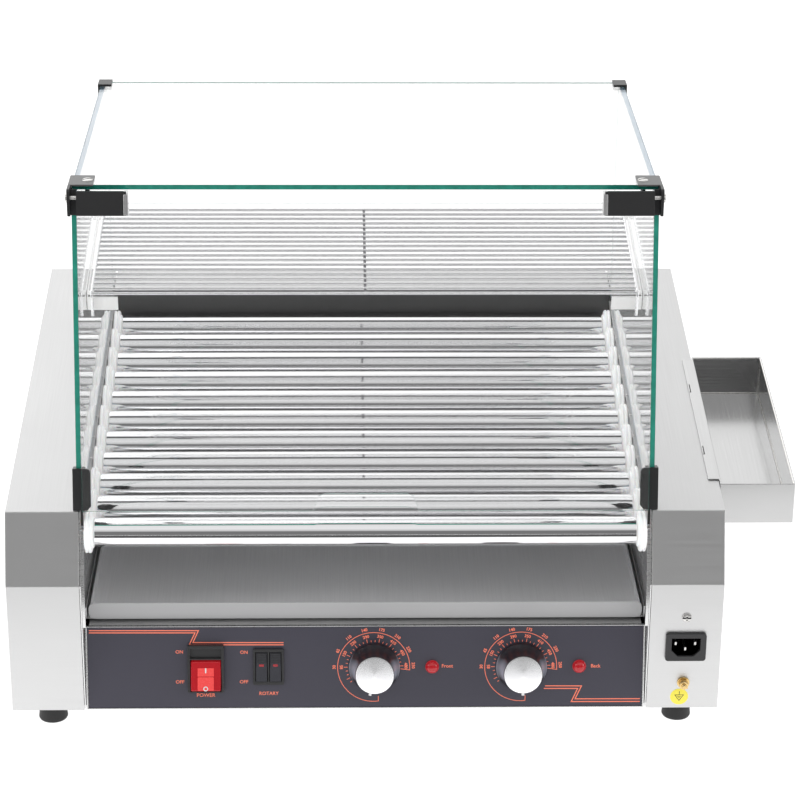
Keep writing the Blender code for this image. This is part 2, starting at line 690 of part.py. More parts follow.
def build_controls():
    for zone, dial_u, lamp_u in (("front", DIAL_U[0], LAMP_U[0]), ("back", DIAL_U[1], LAMP_U[1])):
        thermostat(f"{zone}_thermostat", dial_u)
        knob(f"{zone}_heat_knob", dial_u)
        lamp(f"{zone}_heat_lamp", lamp_u)
    power_switch()
    rotary_switches()


def build_trays():
    drip_tray()
    side_tray()


def build_hood():
    top_glass()
    for side in (-1, 1):
        side_glass(side)
        corner_bracket(side)
        rear_clip(side)
        lower_bracket(side)
        shelf_bracket(side)
    door()
    bun_shelf()


clear_scene()
build_body()
build_drive()
build_controls()
build_trays()
build_hood()
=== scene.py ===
import math

import bmesh
import bpy
from mathutils import Matrix, Vector


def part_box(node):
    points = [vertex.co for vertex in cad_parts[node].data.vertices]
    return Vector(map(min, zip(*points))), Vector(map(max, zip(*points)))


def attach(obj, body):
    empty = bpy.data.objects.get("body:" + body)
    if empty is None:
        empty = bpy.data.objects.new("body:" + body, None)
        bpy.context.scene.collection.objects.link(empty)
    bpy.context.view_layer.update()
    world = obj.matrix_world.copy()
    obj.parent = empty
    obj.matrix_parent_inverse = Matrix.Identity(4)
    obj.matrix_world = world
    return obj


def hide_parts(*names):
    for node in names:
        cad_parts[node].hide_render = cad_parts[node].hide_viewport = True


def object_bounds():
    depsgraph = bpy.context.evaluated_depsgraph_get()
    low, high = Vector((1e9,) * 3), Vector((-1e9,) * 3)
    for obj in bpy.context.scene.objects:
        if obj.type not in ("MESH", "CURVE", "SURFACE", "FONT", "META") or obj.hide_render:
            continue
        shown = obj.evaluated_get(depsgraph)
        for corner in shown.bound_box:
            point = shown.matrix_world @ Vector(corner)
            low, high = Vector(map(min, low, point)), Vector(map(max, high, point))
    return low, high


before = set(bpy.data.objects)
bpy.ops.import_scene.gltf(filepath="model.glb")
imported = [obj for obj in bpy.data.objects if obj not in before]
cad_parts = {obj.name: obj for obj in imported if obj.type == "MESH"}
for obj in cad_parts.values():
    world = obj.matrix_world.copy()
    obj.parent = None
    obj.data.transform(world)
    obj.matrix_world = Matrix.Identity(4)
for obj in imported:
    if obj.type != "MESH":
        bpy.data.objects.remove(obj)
cad_low, cad_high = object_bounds()

MM = 0.001
GRILL = "grill_body"


# ---------------------------------------------------------------- places, in millimetres on the object

def basis(origin, x, y, z):
    """Millimetres along x, y and z from origin to metres in the row frame."""
    turn = Matrix((x, y, z)).transposed().to_4x4()
    return Matrix.Translation(origin) @ turn @ Matrix.Scale(MM, 4)


def slope(degrees):
    return math.sin(math.radians(degrees)), math.cos(math.radians(degrees))


X, Y, Z = Vector((1, 0, 0)), Vector((0, 1, 0)), Vector((0, 0, 1))
left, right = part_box("left_side_housing"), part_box("right_side_housing")
ORIGIN = Vector(((left[0].x + right[1].x) / 2, left[0].y, cad_low.z))
BODY = basis(ORIGIN, X, Y, Z)

CREASE_Z, TOP_FRONT_Y, TOP_FRONT_Z = 136.0, 21.5, 192.5
TOP_SLOPE = math.radians(8.1)
WALL_EDGE_X = (227.0, 229.6)
ROLLER_COUNT = 11

FASCIA_HEIGHT, FASCIA_THICK = 69.0, 1.2
lean_s, lean_c = slope(10.5)
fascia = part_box("control_fascia")
PANEL_ORIGIN = Vector((
    ORIGIN.x,
    fascia[1].y - (FASCIA_HEIGHT * lean_s + FASCIA_THICK * lean_c) * MM,
    fascia[0].z + FASCIA_THICK * lean_s * MM,
))
PANEL = basis(PANEL_ORIGIN, X, Vector((0, lean_s, lean_c)), Vector((0, -lean_c, lean_s)))

shelf_s, shelf_c = slope(10.3)
SHELF_DEPTH, LEG = 141.0, 20.0
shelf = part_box("bun_shelf")
SHELF_ORIGIN = Vector((ORIGIN.x, shelf[1].y - SHELF_DEPTH * shelf_c * MM, shelf[0].z + LEG * shelf_c * MM))
SHELF = basis(SHELF_ORIGIN, X, Vector((0, shelf_c, shelf_s)), Vector((0, -shelf_s, shelf_c)))


def middle(node):
    low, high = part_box(node)
    return (low + high) / 2


def to_body(point):
    """A row-frame point in millimetres on the body."""
    return (point - ORIGIN) / MM


def centre(node):
    """A node's middle in millimetres on the body."""
    return to_body(middle(node))


def node_box(node):
    """A node's lowest and highest corners in millimetres on the body."""
    return tuple(to_body(corner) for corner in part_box(node))


def top_z(y):
    """Height of the housings' top at y."""
    return TOP_FRONT_Z + (y - TOP_FRONT_Y) * math.tan(TOP_SLOPE)


def on_top(x, y, z):
    """Local z stands square to the sloping top."""
    return BODY @ Matrix.Translation((x, y, z)) @ Matrix.Rotation(TOP_SLOPE, 4, "X")


def side_name(side):
    return "left" if side < 0 else "right"


def both_sides(side, inner, outer):
    """The x range from inner to outer on one side of the middle, lowest first."""
    return sorted((side * inner, side * outer))


def along_x(point):
    """Local z runs along the object's x, from point's y and z."""
    return basis(Vector((ORIGIN.x, point.y, point.z)), Y, Z, X)


def axes_at(place, point, x, y, z):
    """place moved to point and turned so that its axes run along x, y and z."""
    return place @ basis(Vector(point), x, y, z) @ Matrix.Scale(1 / MM, 4)


def out_front(x, z):
    """Local x right, y up and z out of the lower front face at (x, z)."""
    return axes_at(BODY, (x, 0, z), X, Z, -Y)


ACROSS = axes_at(BODY, (0, 0, 0), Y, Z, X)


# ---------------------------------------------------------------- materials

def node_tree(name):
    mat = bpy.data.materials.new(name)
    mat.use_nodes = True
    nt = mat.node_tree
    return mat, nt, nt.nodes["Principled BSDF"]


def link(nt, a, b):
    nt.links.new(a, b)


def noise(nt, scale, detail=4.0, stretch=(1, 1, 1), roughness=0.55):
    coord = nt.nodes.new("ShaderNodeTexCoord")
    mapping = nt.nodes.new("ShaderNodeMapping")
    mapping.inputs["Scale"].default_value = stretch
    tex = nt.nodes.new("ShaderNodeTexNoise")
    tex.inputs["Scale"].default_value = scale
    tex.inputs["Detail"].default_value = detail
    tex.inputs["Roughness"].default_value = roughness
    link(nt, coord.outputs["Object"], mapping.inputs["Vector"])
    link(nt, mapping.outputs["Vector"], tex.inputs["Vector"])
    return tex.outputs["Fac"]


def ranged(nt, value, low, high, start=0.3, end=0.7):
    node = nt.nodes.new("ShaderNodeMapRange")
    for key, number in (("From Min", start), ("From Max", end), ("To Min", low), ("To Max", high)):
        node.inputs[key].default_value = number
    link(nt, value, node.inputs["Value"])
    return node.outputs["Result"]


def blend_colour(nt, factor, a, b):
    node = nt.nodes.new("ShaderNodeMix")
    node.data_type = "RGBA"
    for socket, value in ((node.inputs[6], a), (node.inputs[7], b)):
        if isinstance(value, tuple):
            socket.default_value = (*value, 1)
        else:
            link(nt, value, socket)
    link(nt, factor, node.inputs[0])
    return node.outputs[2]


def bump(nt, shader, height, strength, distance=0.2):
    node = nt.nodes.new("ShaderNodeBump")
    node.inputs["Strength"].default_value = strength
    node.inputs["Distance"].default_value = distance * MM
    link(nt, height, node.inputs["Height"])
    link(nt, node.outputs["Normal"], shader.inputs["Normal"])


def shade(colour, factor):
    return tuple(min(1.0, c * factor) for c in colour)


def surface(name, colour, roughness, metallic=0.0, scale=900.0, stretch=(1, 1, 1), tone=0.08,
            vary=0.06, relief=0.05, **sockets):
    """A finish whose colour, gloss and relief follow a fine grain and a slow cloud."""
    mat, nt, shader = node_tree(name)
    grain = noise(nt, scale, 5.0, stretch)
    cloud = noise(nt, 9.0, 3.0)
    fine = blend_colour(nt, ranged(nt, grain, 0, 1), shade(colour, 1 - tone), shade(colour, 1 + tone))
    dull = shade(colour, 1 - tone * 0.7)
    tint = blend_colour(nt, ranged(nt, cloud, 0, 0.7, 0.35, 0.75), fine, dull)
    link(nt, tint, shader.inputs["Base Color"])
    link(nt, ranged(nt, grain, roughness - vary, roughness + vary), shader.inputs["Roughness"])
    shader.inputs["Metallic"].default_value = metallic
    for key, value in sockets.items():
        shader.inputs[key.replace("_", " ")].default_value = value
    bump(nt, shader, grain, relief)
    return mat


def calculated(nt, operation, a, b):
    """One step of arithmetic on a and b, where b may be a number."""
    node = nt.nodes.new("ShaderNodeMath")
    node.operation = operation
    link(nt, a, node.inputs[0])
    if isinstance(b, float):
        node.inputs[1].default_value = b
    else:
        link(nt, b, node.inputs[1])
    return node.outputs["Value"]


def facing(nt, axis):
    """How far a face looks along axis, from -1 to 1."""
    coord = nt.nodes.new("ShaderNodeTexCoord")
    dot = nt.nodes.new("ShaderNodeVectorMath")
    dot.operation = "DOT_PRODUCT"
    dot.inputs[1].default_value = axis
    link(nt, coord.outputs["Normal"], dot.inputs[0])
    return dot.outputs["Value"]


def object_normal(nt, axis):
    """How far a face looks along axis or against it, from 0 to 1."""
    return calculated(nt, "ABSOLUTE", facing(nt, axis), 0.0)


def over(nt, value, limit):
    return calculated(nt, "GREATER_THAN", value, limit)


def choose(nt, factor, a, b):
    node = nt.nodes.new("ShaderNodeMix")
    link(nt, factor, node.inputs[0])
    link(nt, a, node.inputs[2])
    link(nt, b, node.inputs[3])
    return node.outputs[0]


def brushed(name, colour, roughness, metallic=1.0, front_painted_light=1.0):
    """Stainless sheet, with its grain across front faces and front to back on the rest. Its last argument
    scales the colour of front faces: above 1 that is painted light, below 1 painted shade.
    """
    tone, relief = 0.05, 0.03
    mat, nt, shader = node_tree(name)
    top = noise(nt, 1.0, 4.0, (900, 10, 0), 0.6)
    front = noise(nt, 1.0, 4.0, (10, 0, 900), 0.6)
    side = noise(nt, 1.0, 4.0, (0, 10, 900), 0.6)
    grain = choose(nt, over(nt, object_normal(nt, Y), 0.6), top, front)
    grain = choose(nt, over(nt, object_normal(nt, X), 0.6), grain, side)
    cloud = noise(nt, 7.0, 3.0)
    fine = blend_colour(nt, ranged(nt, grain, 0, 1), shade(colour, 1 - tone), shade(colour, 1 + tone))
    tint = blend_colour(nt, ranged(nt, cloud, 0, 0.5, 0.35, 0.75), fine, shade(colour, 0.92))
    # Front faces painted lighter or darker than the rest: painted light and shade.
    if front_painted_light != 1.0:
        tint = blend_colour(nt, over(nt, facing(nt, -Y), 0.3), tint, shade(colour, front_painted_light))
    link(nt, tint, shader.inputs["Base Color"])
    link(nt, ranged(nt, grain, roughness - 0.04, roughness + 0.05), shader.inputs["Roughness"])
    shader.inputs["Metallic"].default_value = metallic
    bump(nt, shader, grain, relief)
    return mat


def mixed(nt, factor, a, b):
    node = nt.nodes.new("ShaderNodeMixShader")
    if isinstance(factor, float):
        node.inputs[0].default_value = factor
    else:
        link(nt, factor, node.inputs[0])
    link(nt, a, node.inputs[1])
    link(nt, b, node.inputs[2])
    return node.outputs[0]


def pane(name, face_axis, edge, tint, pale=()):
    """Clear sheet glass: its faces are clear and its cut edges show the glass's own colour, but edges facing
    the pale axes are painted pale blue as a painted reflection.
    """
    mat, nt, clear = node_tree(name)
    clear.inputs["Base Color"].default_value = (*tint, 1)
    clear.inputs["IOR"].default_value = 1.5
    clear.inputs["Transmission Weight"].default_value = 1.0
    smear = noise(nt, 14.0, 4.0)
    link(nt, ranged(nt, smear, 0.0, 0.02, 0.45, 0.8), clear.inputs["Roughness"])
    path = nt.nodes.new("ShaderNodeLightPath")
    lamp = nt.nodes.new("ShaderNodeBsdfTransparent")
    lamp.inputs["Color"].default_value = (0.97, 0.97, 0.97, 1)
    lets = mixed(nt, path.outputs["Is Shadow Ray"], clear.outputs[0], lamp.outputs[0])
    rim = nt.nodes.new("ShaderNodeBsdfPrincipled")
    streak = noise(nt, 120.0, 3.0)
    colour = blend_colour(nt, ranged(nt, streak, 0, 1), shade(edge, 0.85), shade(edge, 1.15))
    # Edges facing the pale axes painted pale blue: painted reflection.
    for axis in pale:
        colour = blend_colour(nt, over(nt, facing(nt, axis), 0.6), colour, PAINTED_EDGE_REFLECTION)
    link(nt, colour, rim.inputs["Base Color"])
    rim.inputs["Roughness"].default_value = 0.25
    rim.inputs["Coat Weight"].default_value = 0.5
    cut = over(nt, object_normal(nt, face_axis), 0.7)
    shown = mixed(nt, cut, rim.outputs[0], lets)
    link(nt, shown, nt.nodes["Material Output"].inputs["Surface"])
    return mat


def polished_sides(mat):
    """Bare polished cheeks on a plate that is otherwise satin, whose satin faces glow a little by emission as
    painted light.
    """
    nt = mat.node_tree
    shader = nt.nodes["Principled BSDF"]
    side = over(nt, object_normal(nt, X), 0.7)
    link(nt, side, shader.inputs["Metallic"])
    link(nt, ranged(nt, side, 0.3, 0.04, 0, 1), shader.inputs["Roughness"])
    # Satin faces glow by emission: painted light.
    link(nt, ranged(nt, side, 0.2, 0.0, 0, 1), shader.inputs["Emission Strength"])
    satin = shader.inputs["Base Color"].links[0].from_socket
    link(nt, blend_colour(nt, side, satin, (0.74, 0.74, 0.74)), shader.inputs["Base Color"])
    return mat


def painted_side_highlight(mat, colour):
    """Painted highlight: a soft pale gleam painted into the base colour down the two sides of a dark gloss
    moulding.
    """
    nt = mat.node_tree
    shader = nt.nodes["Principled BSDF"]
    base = shader.inputs["Base Color"].links[0].from_socket
    gleam = ranged(nt, object_normal(nt, X), 0, 1, 0.78, 1.0)
    link(nt, blend_colour(nt, gleam, base, colour), shader.inputs["Base Color"])
    return mat


GREEN = (0.02, 0.30, 0.22)
PAINTED_EDGE_REFLECTION = (0.58, 0.74, 0.88)
door_axis = max(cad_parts["door_glass"].data.polygons, key=lambda p: p.area).normal.copy()

M = {
    # Housings and rails: front faces painted lighter, painted light.
    "steel": brushed("brushed_steel", (0.62, 0.62, 0.62), 0.42, front_painted_light=1.14),
    # Rear panel: its front-facing inner wall painted dark, painted shade.
    "deck": brushed("deck_steel", (0.62, 0.62, 0.62), 0.42, front_painted_light=0.17),
    "wall_steel": brushed("wall_steel", (0.80, 0.80, 0.80), 0.28),
    # Drip tray: its front lip painted darker, painted shade.
    "tray_steel": brushed("tray_steel", (0.82, 0.82, 0.83), 0.46, metallic=0.25, front_painted_light=0.58),
    "rail": brushed("rail_steel", (0.62, 0.62, 0.62), 0.5, metallic=0.5),
    "ledge": brushed("ledge_steel", (0.50, 0.50, 0.50), 0.5, metallic=0.3),
    "side_tray": brushed("side_tray_steel", (0.58, 0.58, 0.58), 0.20),
    "chrome": surface("chrome", (0.86, 0.86, 0.87), 0.06, 1.0, 1.0, (1, 900, 900), 0.02, 0.02, 0.0002),
    "wire": surface("bright_wire", (0.90, 0.90, 0.91), 0.20, 1.0, 500.0, tone=0.05, vary=0.04, relief=0.02),
    "zinc": surface("zinc", (0.78, 0.77, 0.75), 0.28, 1.0, 1400.0, tone=0.1, vary=0.08, relief=0.08),
    "dark_steel": surface("dark_steel", (0.22, 0.22, 0.23), 0.42, 1.0, 700.0, tone=0.15, relief=0.1),
    "fascia": surface("fascia", (0.058, 0.055, 0.078), 0.42, 0.0, 2600.0, tone=0.10, vary=0.05, relief=0.12),
    "black": surface("black_plastic", (0.028, 0.028, 0.030), 0.38, 0.0, 2200.0, tone=0.25, relief=0.10),
    "black_metal": surface("black_coating", (0.026, 0.026, 0.027), 0.34, 0.0, 2600.0, tone=0.25, relief=0.10),
    # Shelf bracket tongue: white emission makes its satin faces glow, painted light.
    "tongue": polished_sides(surface("bright_plate", (0.96, 0.96, 0.95), 0.30, 0.0, 700.0, tone=0.03,
                                     relief=0.03, Emission_Color=(1, 1, 1, 1))),
    # Bracket arm: its black coating painted light grey, a painted reflection of the bright room above.
    "bracket": surface("bracket_painted_sheen", (0.17, 0.17, 0.17), 0.40, 0.0, 1400.0, tone=0.15, relief=0.10),
    "dim_red": surface("dim_red_window", (0.42, 0.035, 0.045), 0.30, 0.0, 600.0, tone=0.10, relief=0.03),
    "zinc_plate": brushed("zinc_plate", (0.78, 0.78, 0.78), 0.36),
    # Knob skirt: its two sides painted pale, a painted highlight.
    "gloss": painted_side_highlight(surface("gloss_black", (0.008, 0.008, 0.014), 0.34, 0.0, 500.0, tone=0.2, vary=0.03,
                               relief=0.02, Coat_Weight=0.5, Coat_Roughness=0.30), (0.45, 0.47, 0.56)),
    "key": surface("grey_key", (0.050, 0.051, 0.062), 0.40, 0.0, 1800.0, tone=0.15, relief=0.08),
    # Bushes glow a little by emission: painted light.
    "ptfe": surface("white_bush", (0.97, 0.95, 0.94), 0.38, 0.0, 260.0, tone=0.05, relief=0.06,
                    Subsurface_Weight=0.15, Emission_Color=(1, 1, 1, 1), Emission_Strength=0.22),
    "rubber": surface("rubber", (0.028, 0.028, 0.028), 0.62, 0.0, 900.0, tone=0.2, relief=0.25),
    "brass": surface("brass", (0.80, 0.58, 0.26), 0.24, 1.0, 900.0, tone=0.12, relief=0.08),
    "red": surface("red_lens", (0.42, 0.012, 0.020), 0.14, 0.0, 600.0, tone=0.12, relief=0.03,
                   Coat_Weight=0.3, Transmission_Weight=0.25, Emission_Color=(0.9, 0.012, 0.025, 1),
                   Emission_Strength=0.18),
    "red_light": surface("red_window", (0.80, 0.08, 0.08), 0.25, 0.0, 600.0, tone=0.08, relief=0.02,
                         Coat_Weight=0.6, Emission_Color=(0.9, 0.06, 0.05, 1), Emission_Strength=0.3),
    # Print glows a little by emission: painted light.
    "orange": surface("orange_print", (0.95, 0.22, 0.13), 0.5, 0.0, 3000.0, tone=0.10, relief=0.03,
                      Emission_Color=(1, 0.22, 0.13, 1), Emission_Strength=0.22),
    "white": surface("white_print", (0.88, 0.88, 0.88), 0.5, 0.0, 3000.0, tone=0.04, relief=0.03),
    # Label glows a little by emission: painted light.
    "yellow": surface("yellow_label", (0.98, 0.86, 0.10), 0.5, 0.0, 1500.0, tone=0.04, relief=0.03,
                      Emission_Color=(1, 0.86, 0.1, 1), Emission_Strength=0.12),
    "top_glass": pane("top_pane", (0, 0, 1), GREEN, (0.88, 0.88, 0.88), (X, -X, Y)),
    "side_glass": pane("side_pane", (1, 0, 0), GREEN, (0.97, 0.98, 0.98), (Z, -Z)),
    "door_glass": pane("door_pane", door_axis, GREEN, (0.965, 0.965, 0.965)),
}


# ---------------------------------------------------------------- mesh making

def clean_up():
    """Geometry nodes that join a CAD node's split corners, so that its edges can be softened."""
    tree = bpy.data.node_groups.new("joined_corners", "GeometryNodeTree")
    tree.interface.new_socket("Geometry", in_out="INPUT", socket_type="NodeSocketGeometry")
    tree.interface.new_socket("Geometry", in_out="OUTPUT", socket_type="NodeSocketGeometry")
    start, end = tree.nodes.new("NodeGroupInput"), tree.nodes.new("NodeGroupOutput")
    drop = tree.nodes.new("GeometryNodeRemoveAttribute")
    drop.inputs["Name"].default_value = "custom_normal"
    merge = tree.nodes.new("GeometryNodeMergeByDistance")
    merge.inputs["Distance"].default_value = 1e-6
    smooth = tree.nodes.new("GeometryNodeSetShadeSmooth")
    tree.links.new(start.outputs[0], drop.inputs["Geometry"])
    tree.links.new(drop.outputs[0], merge.inputs["Geometry"])
    tree.links.new(merge.outputs[0], smooth.inputs["Geometry"])
    tree.links.new(smooth.outputs[0], end.inputs[0])
    return tree


JOIN = clean_up()


def soften(obj, width, segments=2, angle=35):
    if width:
        edge = obj.modifiers.new("Edges", "BEVEL")
        edge.width = width * MM
        edge.segments = segments
        edge.limit_method = "ANGLE"
        edge.angle_limit = math.radians(angle)
    obj.modifiers.new("Normals", "WEIGHTED_NORMAL")


def keep(node, finish, width=0.4, angle=35):
    """Shows a CAD node as it is, with softened edges and a finish."""
    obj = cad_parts[node]
    obj.material_slots[0].link = "OBJECT"
    obj.material_slots[0].material = M[finish]
    join = obj.modifiers.new("Join", "NODES")
    join.node_group = JOIN
    soften(obj, width, angle=angle)


def prism(outline, low, high, place):
    """Outline's sheet between the heights low and high."""
    n = len(outline)
    points = [(a, b, h) for h in (low, high) for a, b in outline]
    faces = [list(range(n))[::-1], list(range(n, 2 * n))]
    faces += [[i, (i + 1) % n, (i + 1) % n + n, i + n] for i in range(n)]
    return [place @ Vector(p) for p in points], faces, 0


def lathe(profile, place, count=48):
    """Turns (radius, height) points about local z. A radius of 0 closes an end."""
    points, rings = [], []
    for radius, height in profile:
        size = count if radius > 0 else 1
        rings.append(list(range(len(points), len(points) + size)))
        for k in range(size):
            a = 2 * math.pi * k / count
            points.append((radius * math.cos(a), radius * math.sin(a), height))
    faces = []
    for a, b in zip(rings, rings[1:]):
        for k in range(count):
            n = (k + 1) % count
            face = [a[k % len(a)], a[n % len(a)], b[n % len(b)], b[k % len(b)]]
            faces.append(list(dict.fromkeys(face)))
    faces += [ring for ring in (rings[0], rings[-1]) if len(ring) > 1]
    return [place @ Vector(p) for p in points], [f for f in faces if len(f) > 2], 0


def rod(points, radius, place, sides=10, index=0):
    """Round wire along points, with flat ends."""
    path = [place @ Vector(p) for p in points]
    verts, faces = [], []
    for i, here in enumerate(path):
        ahead = (path[min(i + 1, len(path) - 1)] - path[max(i - 1, 0)]).normalized()
        one = ahead.orthogonal().normalized() if i == 0 else (one - ahead * one.dot(ahead)).normalized()
        two = ahead.cross(one)
        for k in range(sides):
            a = 2 * math.pi * k / sides
            verts.append(here + (one * math.cos(a) + two * math.sin(a)) * radius * MM)
    for i in range(len(path) - 1):
        for k in range(sides):
            n = (k + 1) % sides
            faces.append([i * sides + k, i * sides + n, (i + 1) * sides + n, (i + 1) * sides + k])
    last = (len(path) - 1) * sides
    faces += [list(range(sides))[::-1], list(range(last, last + sides))]
    return verts, faces, index


PRINT_HEIGHT = 0.06


def ribbon(points, width, place, height=PRINT_HEIGHT):
    """Flat printed line along points in a plane."""
    path = [Vector(p).to_2d() for p in points]
    verts, faces = [], []
    for i, here in enumerate(path):
        before = (here - path[i - 1]).normalized() if i else (path[1] - here).normalized()
        after = (path[i + 1] - here).normalized() if i + 1 < len(path) else before
        mean = (before + after).normalized()
        normal = Vector((-mean.y, mean.x))
        reach = width / 2 / max(0.35, normal.dot(Vector((-before.y, before.x))))
        for side in (1, -1):
            p = here + normal * reach * side
            verts.append(place @ Vector((p.x, p.y, height)))
    for i in range(len(path) - 1):
        faces.append([2 * i, 2 * i + 1, 2 * i + 3, 2 * i + 2])
    return verts, faces, 0


def lettering(words, size, place, angle=0.0, bold=0.012):
    """Flat printed words, centred on place."""
    curve = bpy.data.curves.new("words", "FONT")
    curve.body = words
    curve.size = size
    curve.offset = bold * size
    curve.align_x, curve.align_y = "CENTER", "CENTER"
    curve.resolution_u = 3
    obj = bpy.data.objects.new("words", curve)
    bpy.context.scene.collection.objects.link(obj)
    bpy.context.view_layer.update()
    mesh = obj.evaluated_get(bpy.context.evaluated_depsgraph_get()).to_mesh()
    turn = place @ Matrix.Translation((0, 0, PRINT_HEIGHT)) @ Matrix.Rotation(angle, 4, "Z")
    verts = [turn @ v.co for v in mesh.vertices]
    faces = [list(p.vertices) for p in mesh.polygons]
    bpy.data.objects.remove(obj)
    bpy.data.curves.remove(curve)
    return verts, faces, 0


def mesh_of(name, parts, closed=True):
    bm = bmesh.new()
    for verts, faces, index in parts:
        made = [bm.verts.new(v) for v in verts]
        for face in faces:
            bm.faces.new([made[i] for i in face]).material_index = index
    if closed:
        bmesh.ops.recalc_face_normals(bm, faces=bm.faces)
    mesh = bpy.data.meshes.new(name)
    bm.to_mesh(mesh)
    bm.free()
    return mesh


def piece(name, parts, finishes, body, width=0.0, angle=35, stands_for=(), closed=True, segments=2,
          place=None):
    mesh = mesh_of(name, parts, closed)
    for finish in finishes.split():
        mesh.materials.append(M[finish])
    mesh.shade_smooth()
    mesh.set_sharp_from_angle(angle=math.radians(angle))
    obj = bpy.data.objects.new(name, mesh)
    bpy.context.scene.collection.objects.link(obj)
    if place is not None:
        obj.matrix_world = place
    if width:
        soften(obj, width, segments)
    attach(obj, body)
    if stands_for:
        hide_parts(*stands_for)
    return obj


def carve(obj, parts):
    """Cuts parts out of obj's mesh."""
    cutter = bpy.data.objects.new("cutter", mesh_of("cutter", parts))
    bpy.context.scene.collection.objects.link(cutter)
    hole = obj.modifiers.new("Hole", "BOOLEAN")
    hole.object = cutter
    bpy.context.view_layer.update()
    graph = bpy.context.evaluated_depsgraph_get()
    cut = bpy.data.meshes.new_from_object(obj.evaluated_get(graph))
    obj.modifiers.clear()
    obj.data = cut
    bpy.data.objects.remove(cutter)


def rectangle(a0, a1, b0, b1):
    return [(a0, b0), (a1, b0), (a1, b1), (a0, b1)]


def rounded(a0, a1, b0, b1, radius, steps=6):
    out = []
    for ca, cb, start in ((a1 - radius, b1 - radius, 0), (a0 + radius, b1 - radius, 90),
                          (a0 + radius, b0 + radius, 180), (a1 - radius, b0 + radius, 270)):
        for k in range(steps + 1):
            t = math.radians(start + 90 * k / steps)
            out.append((ca + radius * math.cos(t), cb + radius * math.sin(t)))
    return out


def polygon(radius, count, turn=0.0):
    step = 2 * math.pi / count
    return [(radius * math.cos(turn + k * step), radius * math.sin(turn + k * step)) for k in range(count)]


def shifted(place, x, y, z=0.0):
    return place @ Matrix.Translation((x, y, z))


# ---------------------------------------------------------------- body sheets

for node in ("left_side_housing", "right_side_housing"):
    keep(node, "steel", 0.6, 12)
for node in ("left_inner_wall", "right_inner_wall"):
    keep(node, "wall_steel", 0.15, 12)
keep("rear_panel", "deck", 0.4, 12)
keep("front_panel", "wall_steel", 0.15)
keep("base_pan", "dark_steel", 0.4)
for node in ("left_tray_rail", "right_tray_rail"):
    keep(node, "steel", 0.2)
keep("drip_tray", "tray_steel", 0.6)
keep("side_tray", "side_tray", 0.5)
keep("control_fascia", "fascia", 0.15)
for node in ("gear_motor", "motor_sprocket", "drive_chain"):
    keep(node, "dark_steel", 0.2)
for node in ("front_thermostat", "back_thermostat"):
    keep(node, "black", 0.3)


def front_line(z, inset):
    """The y of the housing's leaning front at height z, moved back by inset."""
    lean = TOP_FRONT_Y / (TOP_FRONT_Z - CREASE_Z)
    return lean * max(0.0, z - CREASE_Z) + inset


def wall_flange(side):
    """Bright folded edge of the inner wall, between the housing and the rollers' bushes."""
    label = side_name(side)
    x0, x1 = both_sides(side, *WALL_EDGE_X)
    front, back = 0.8, 1.8
    heights = (98.0, CREASE_Z, 178.0)
    corners = ((x0, front), (x1, front), (x1, back), (x0, back))
    verts = [(x, front_line(z, inset), z) for z in heights for x, inset in corners]
    faces = [[0, 1, 2, 3], [8, 9, 10, 11]]
    for row in (0, 4):
        faces += [[row + k, row + (k + 1) % 4, row + 4 + (k + 1) % 4, row + 4 + k] for k in range(4)]
    strip = [BODY @ Vector(v) for v in verts], faces, 0
    piece(f"{label}_wall_flange", [strip], "wall_steel", GRILL, width=0.25, angle=12)


def panel_ledge():
    """Flange that runs back from the front panel's top edge."""
    low, high = node_box("front_panel")
    margin, overlap, back_y = 3, 2.2, 48.0
    under, over_it = 1.4, 0.6
    outline = rectangle(low.x + margin, high.x - margin, high.y - overlap, back_y)
    sheet = prism(outline, high.z - under, high.z - over_it, BODY)
    piece("panel_ledge", [sheet], "ledge", GRILL, width=0.2)


def wall_rail(side):
    """Folded top edge of the inner wall beside the bushes, with a rivet at each roller."""
    label = side_name(side)
    start, end = 30.0, 372.0
    drop, thick, sunk = 4.6, 1.0, 0.2
    rivet_x, rivet_ahead = 228.3, 16.0
    outline = [(start, top_z(start) - drop), (end, top_z(end) - drop), (end, top_z(end) - drop - thick),
               (start, top_z(start) - drop - thick)]
    strip = prism(outline, *both_sides(side, *WALL_EDGE_X), ACROSS)
    piece(f"{label}_wall_rail", [strip], "rail", GRILL, width=0.2)
    heads = []
    for i in range(1, ROLLER_COUNT):
        y = centre(f"roller_{i:02d}").y + rivet_ahead
        spot = on_top(side * rivet_x, y, top_z(y) - drop - sunk)
        heads.append(lathe([(0, 0), (1.15, 0), (1.0, 0.6), (0.5, 0.9), (0, 0.95)], spot, 20))
    piece(f"{label}_wall_rivets", heads, "zinc", GRILL)


for side in (-1, 1):
    wall_flange(side)
    wall_rail(side)
panel_ledge()


def foot(node):
    low, high = node_box(node)
    spot, tall = centre(node), high.z - low.z
    place = shifted(BODY, spot.x, spot.y, low.z)
    profile = [(0, 0), (10.4, 0), (11.4, 0.5), (12.0, 1.6), (11.9, 3.0), (11.0, 11.0), (10.7, tall - 4.0),
               (10.2, tall - 2.6), (7.4, tall - 2.0), (7.0, tall - 1.2), (7.0, tall), (0, tall)]
    piece("rubber_" + node, [lathe(profile, place)], "rubber", GRILL, stands_for=[node])


for node in ("foot_front_left", "foot_front_right", "foot_rear_left", "foot_rear_right"):
    foot(node)


TRAY_RIM, TRAY_DEPTH, TRAY_SHEET = 1.3, 35.3, 1.0


def tray_slits():
    """Two short slits in the side tray's hook flange, drawn as black slabs on its top as painted shade where
    the slits open.
    """
    low = node_box("side_tray")[0]
    inset, half_length = 1.4, 6.5
    for k, y in enumerate((108.5, 207.0)):
        spot = on_top(low.x + inset, y, top_z(y) + TRAY_RIM + 0.06)
        slit = prism(rounded(-0.45, 0.45, -half_length, half_length, 0.4, 3), -0.1, 0.05, spot)
        notch = prism(rectangle(-1.2, 0.0, -half_length, -5.7), -0.1, 0.05, spot)
        piece(f"tray_slit_{k + 1}", [slit, notch], "black", "side_tray_body")


tray_slits()


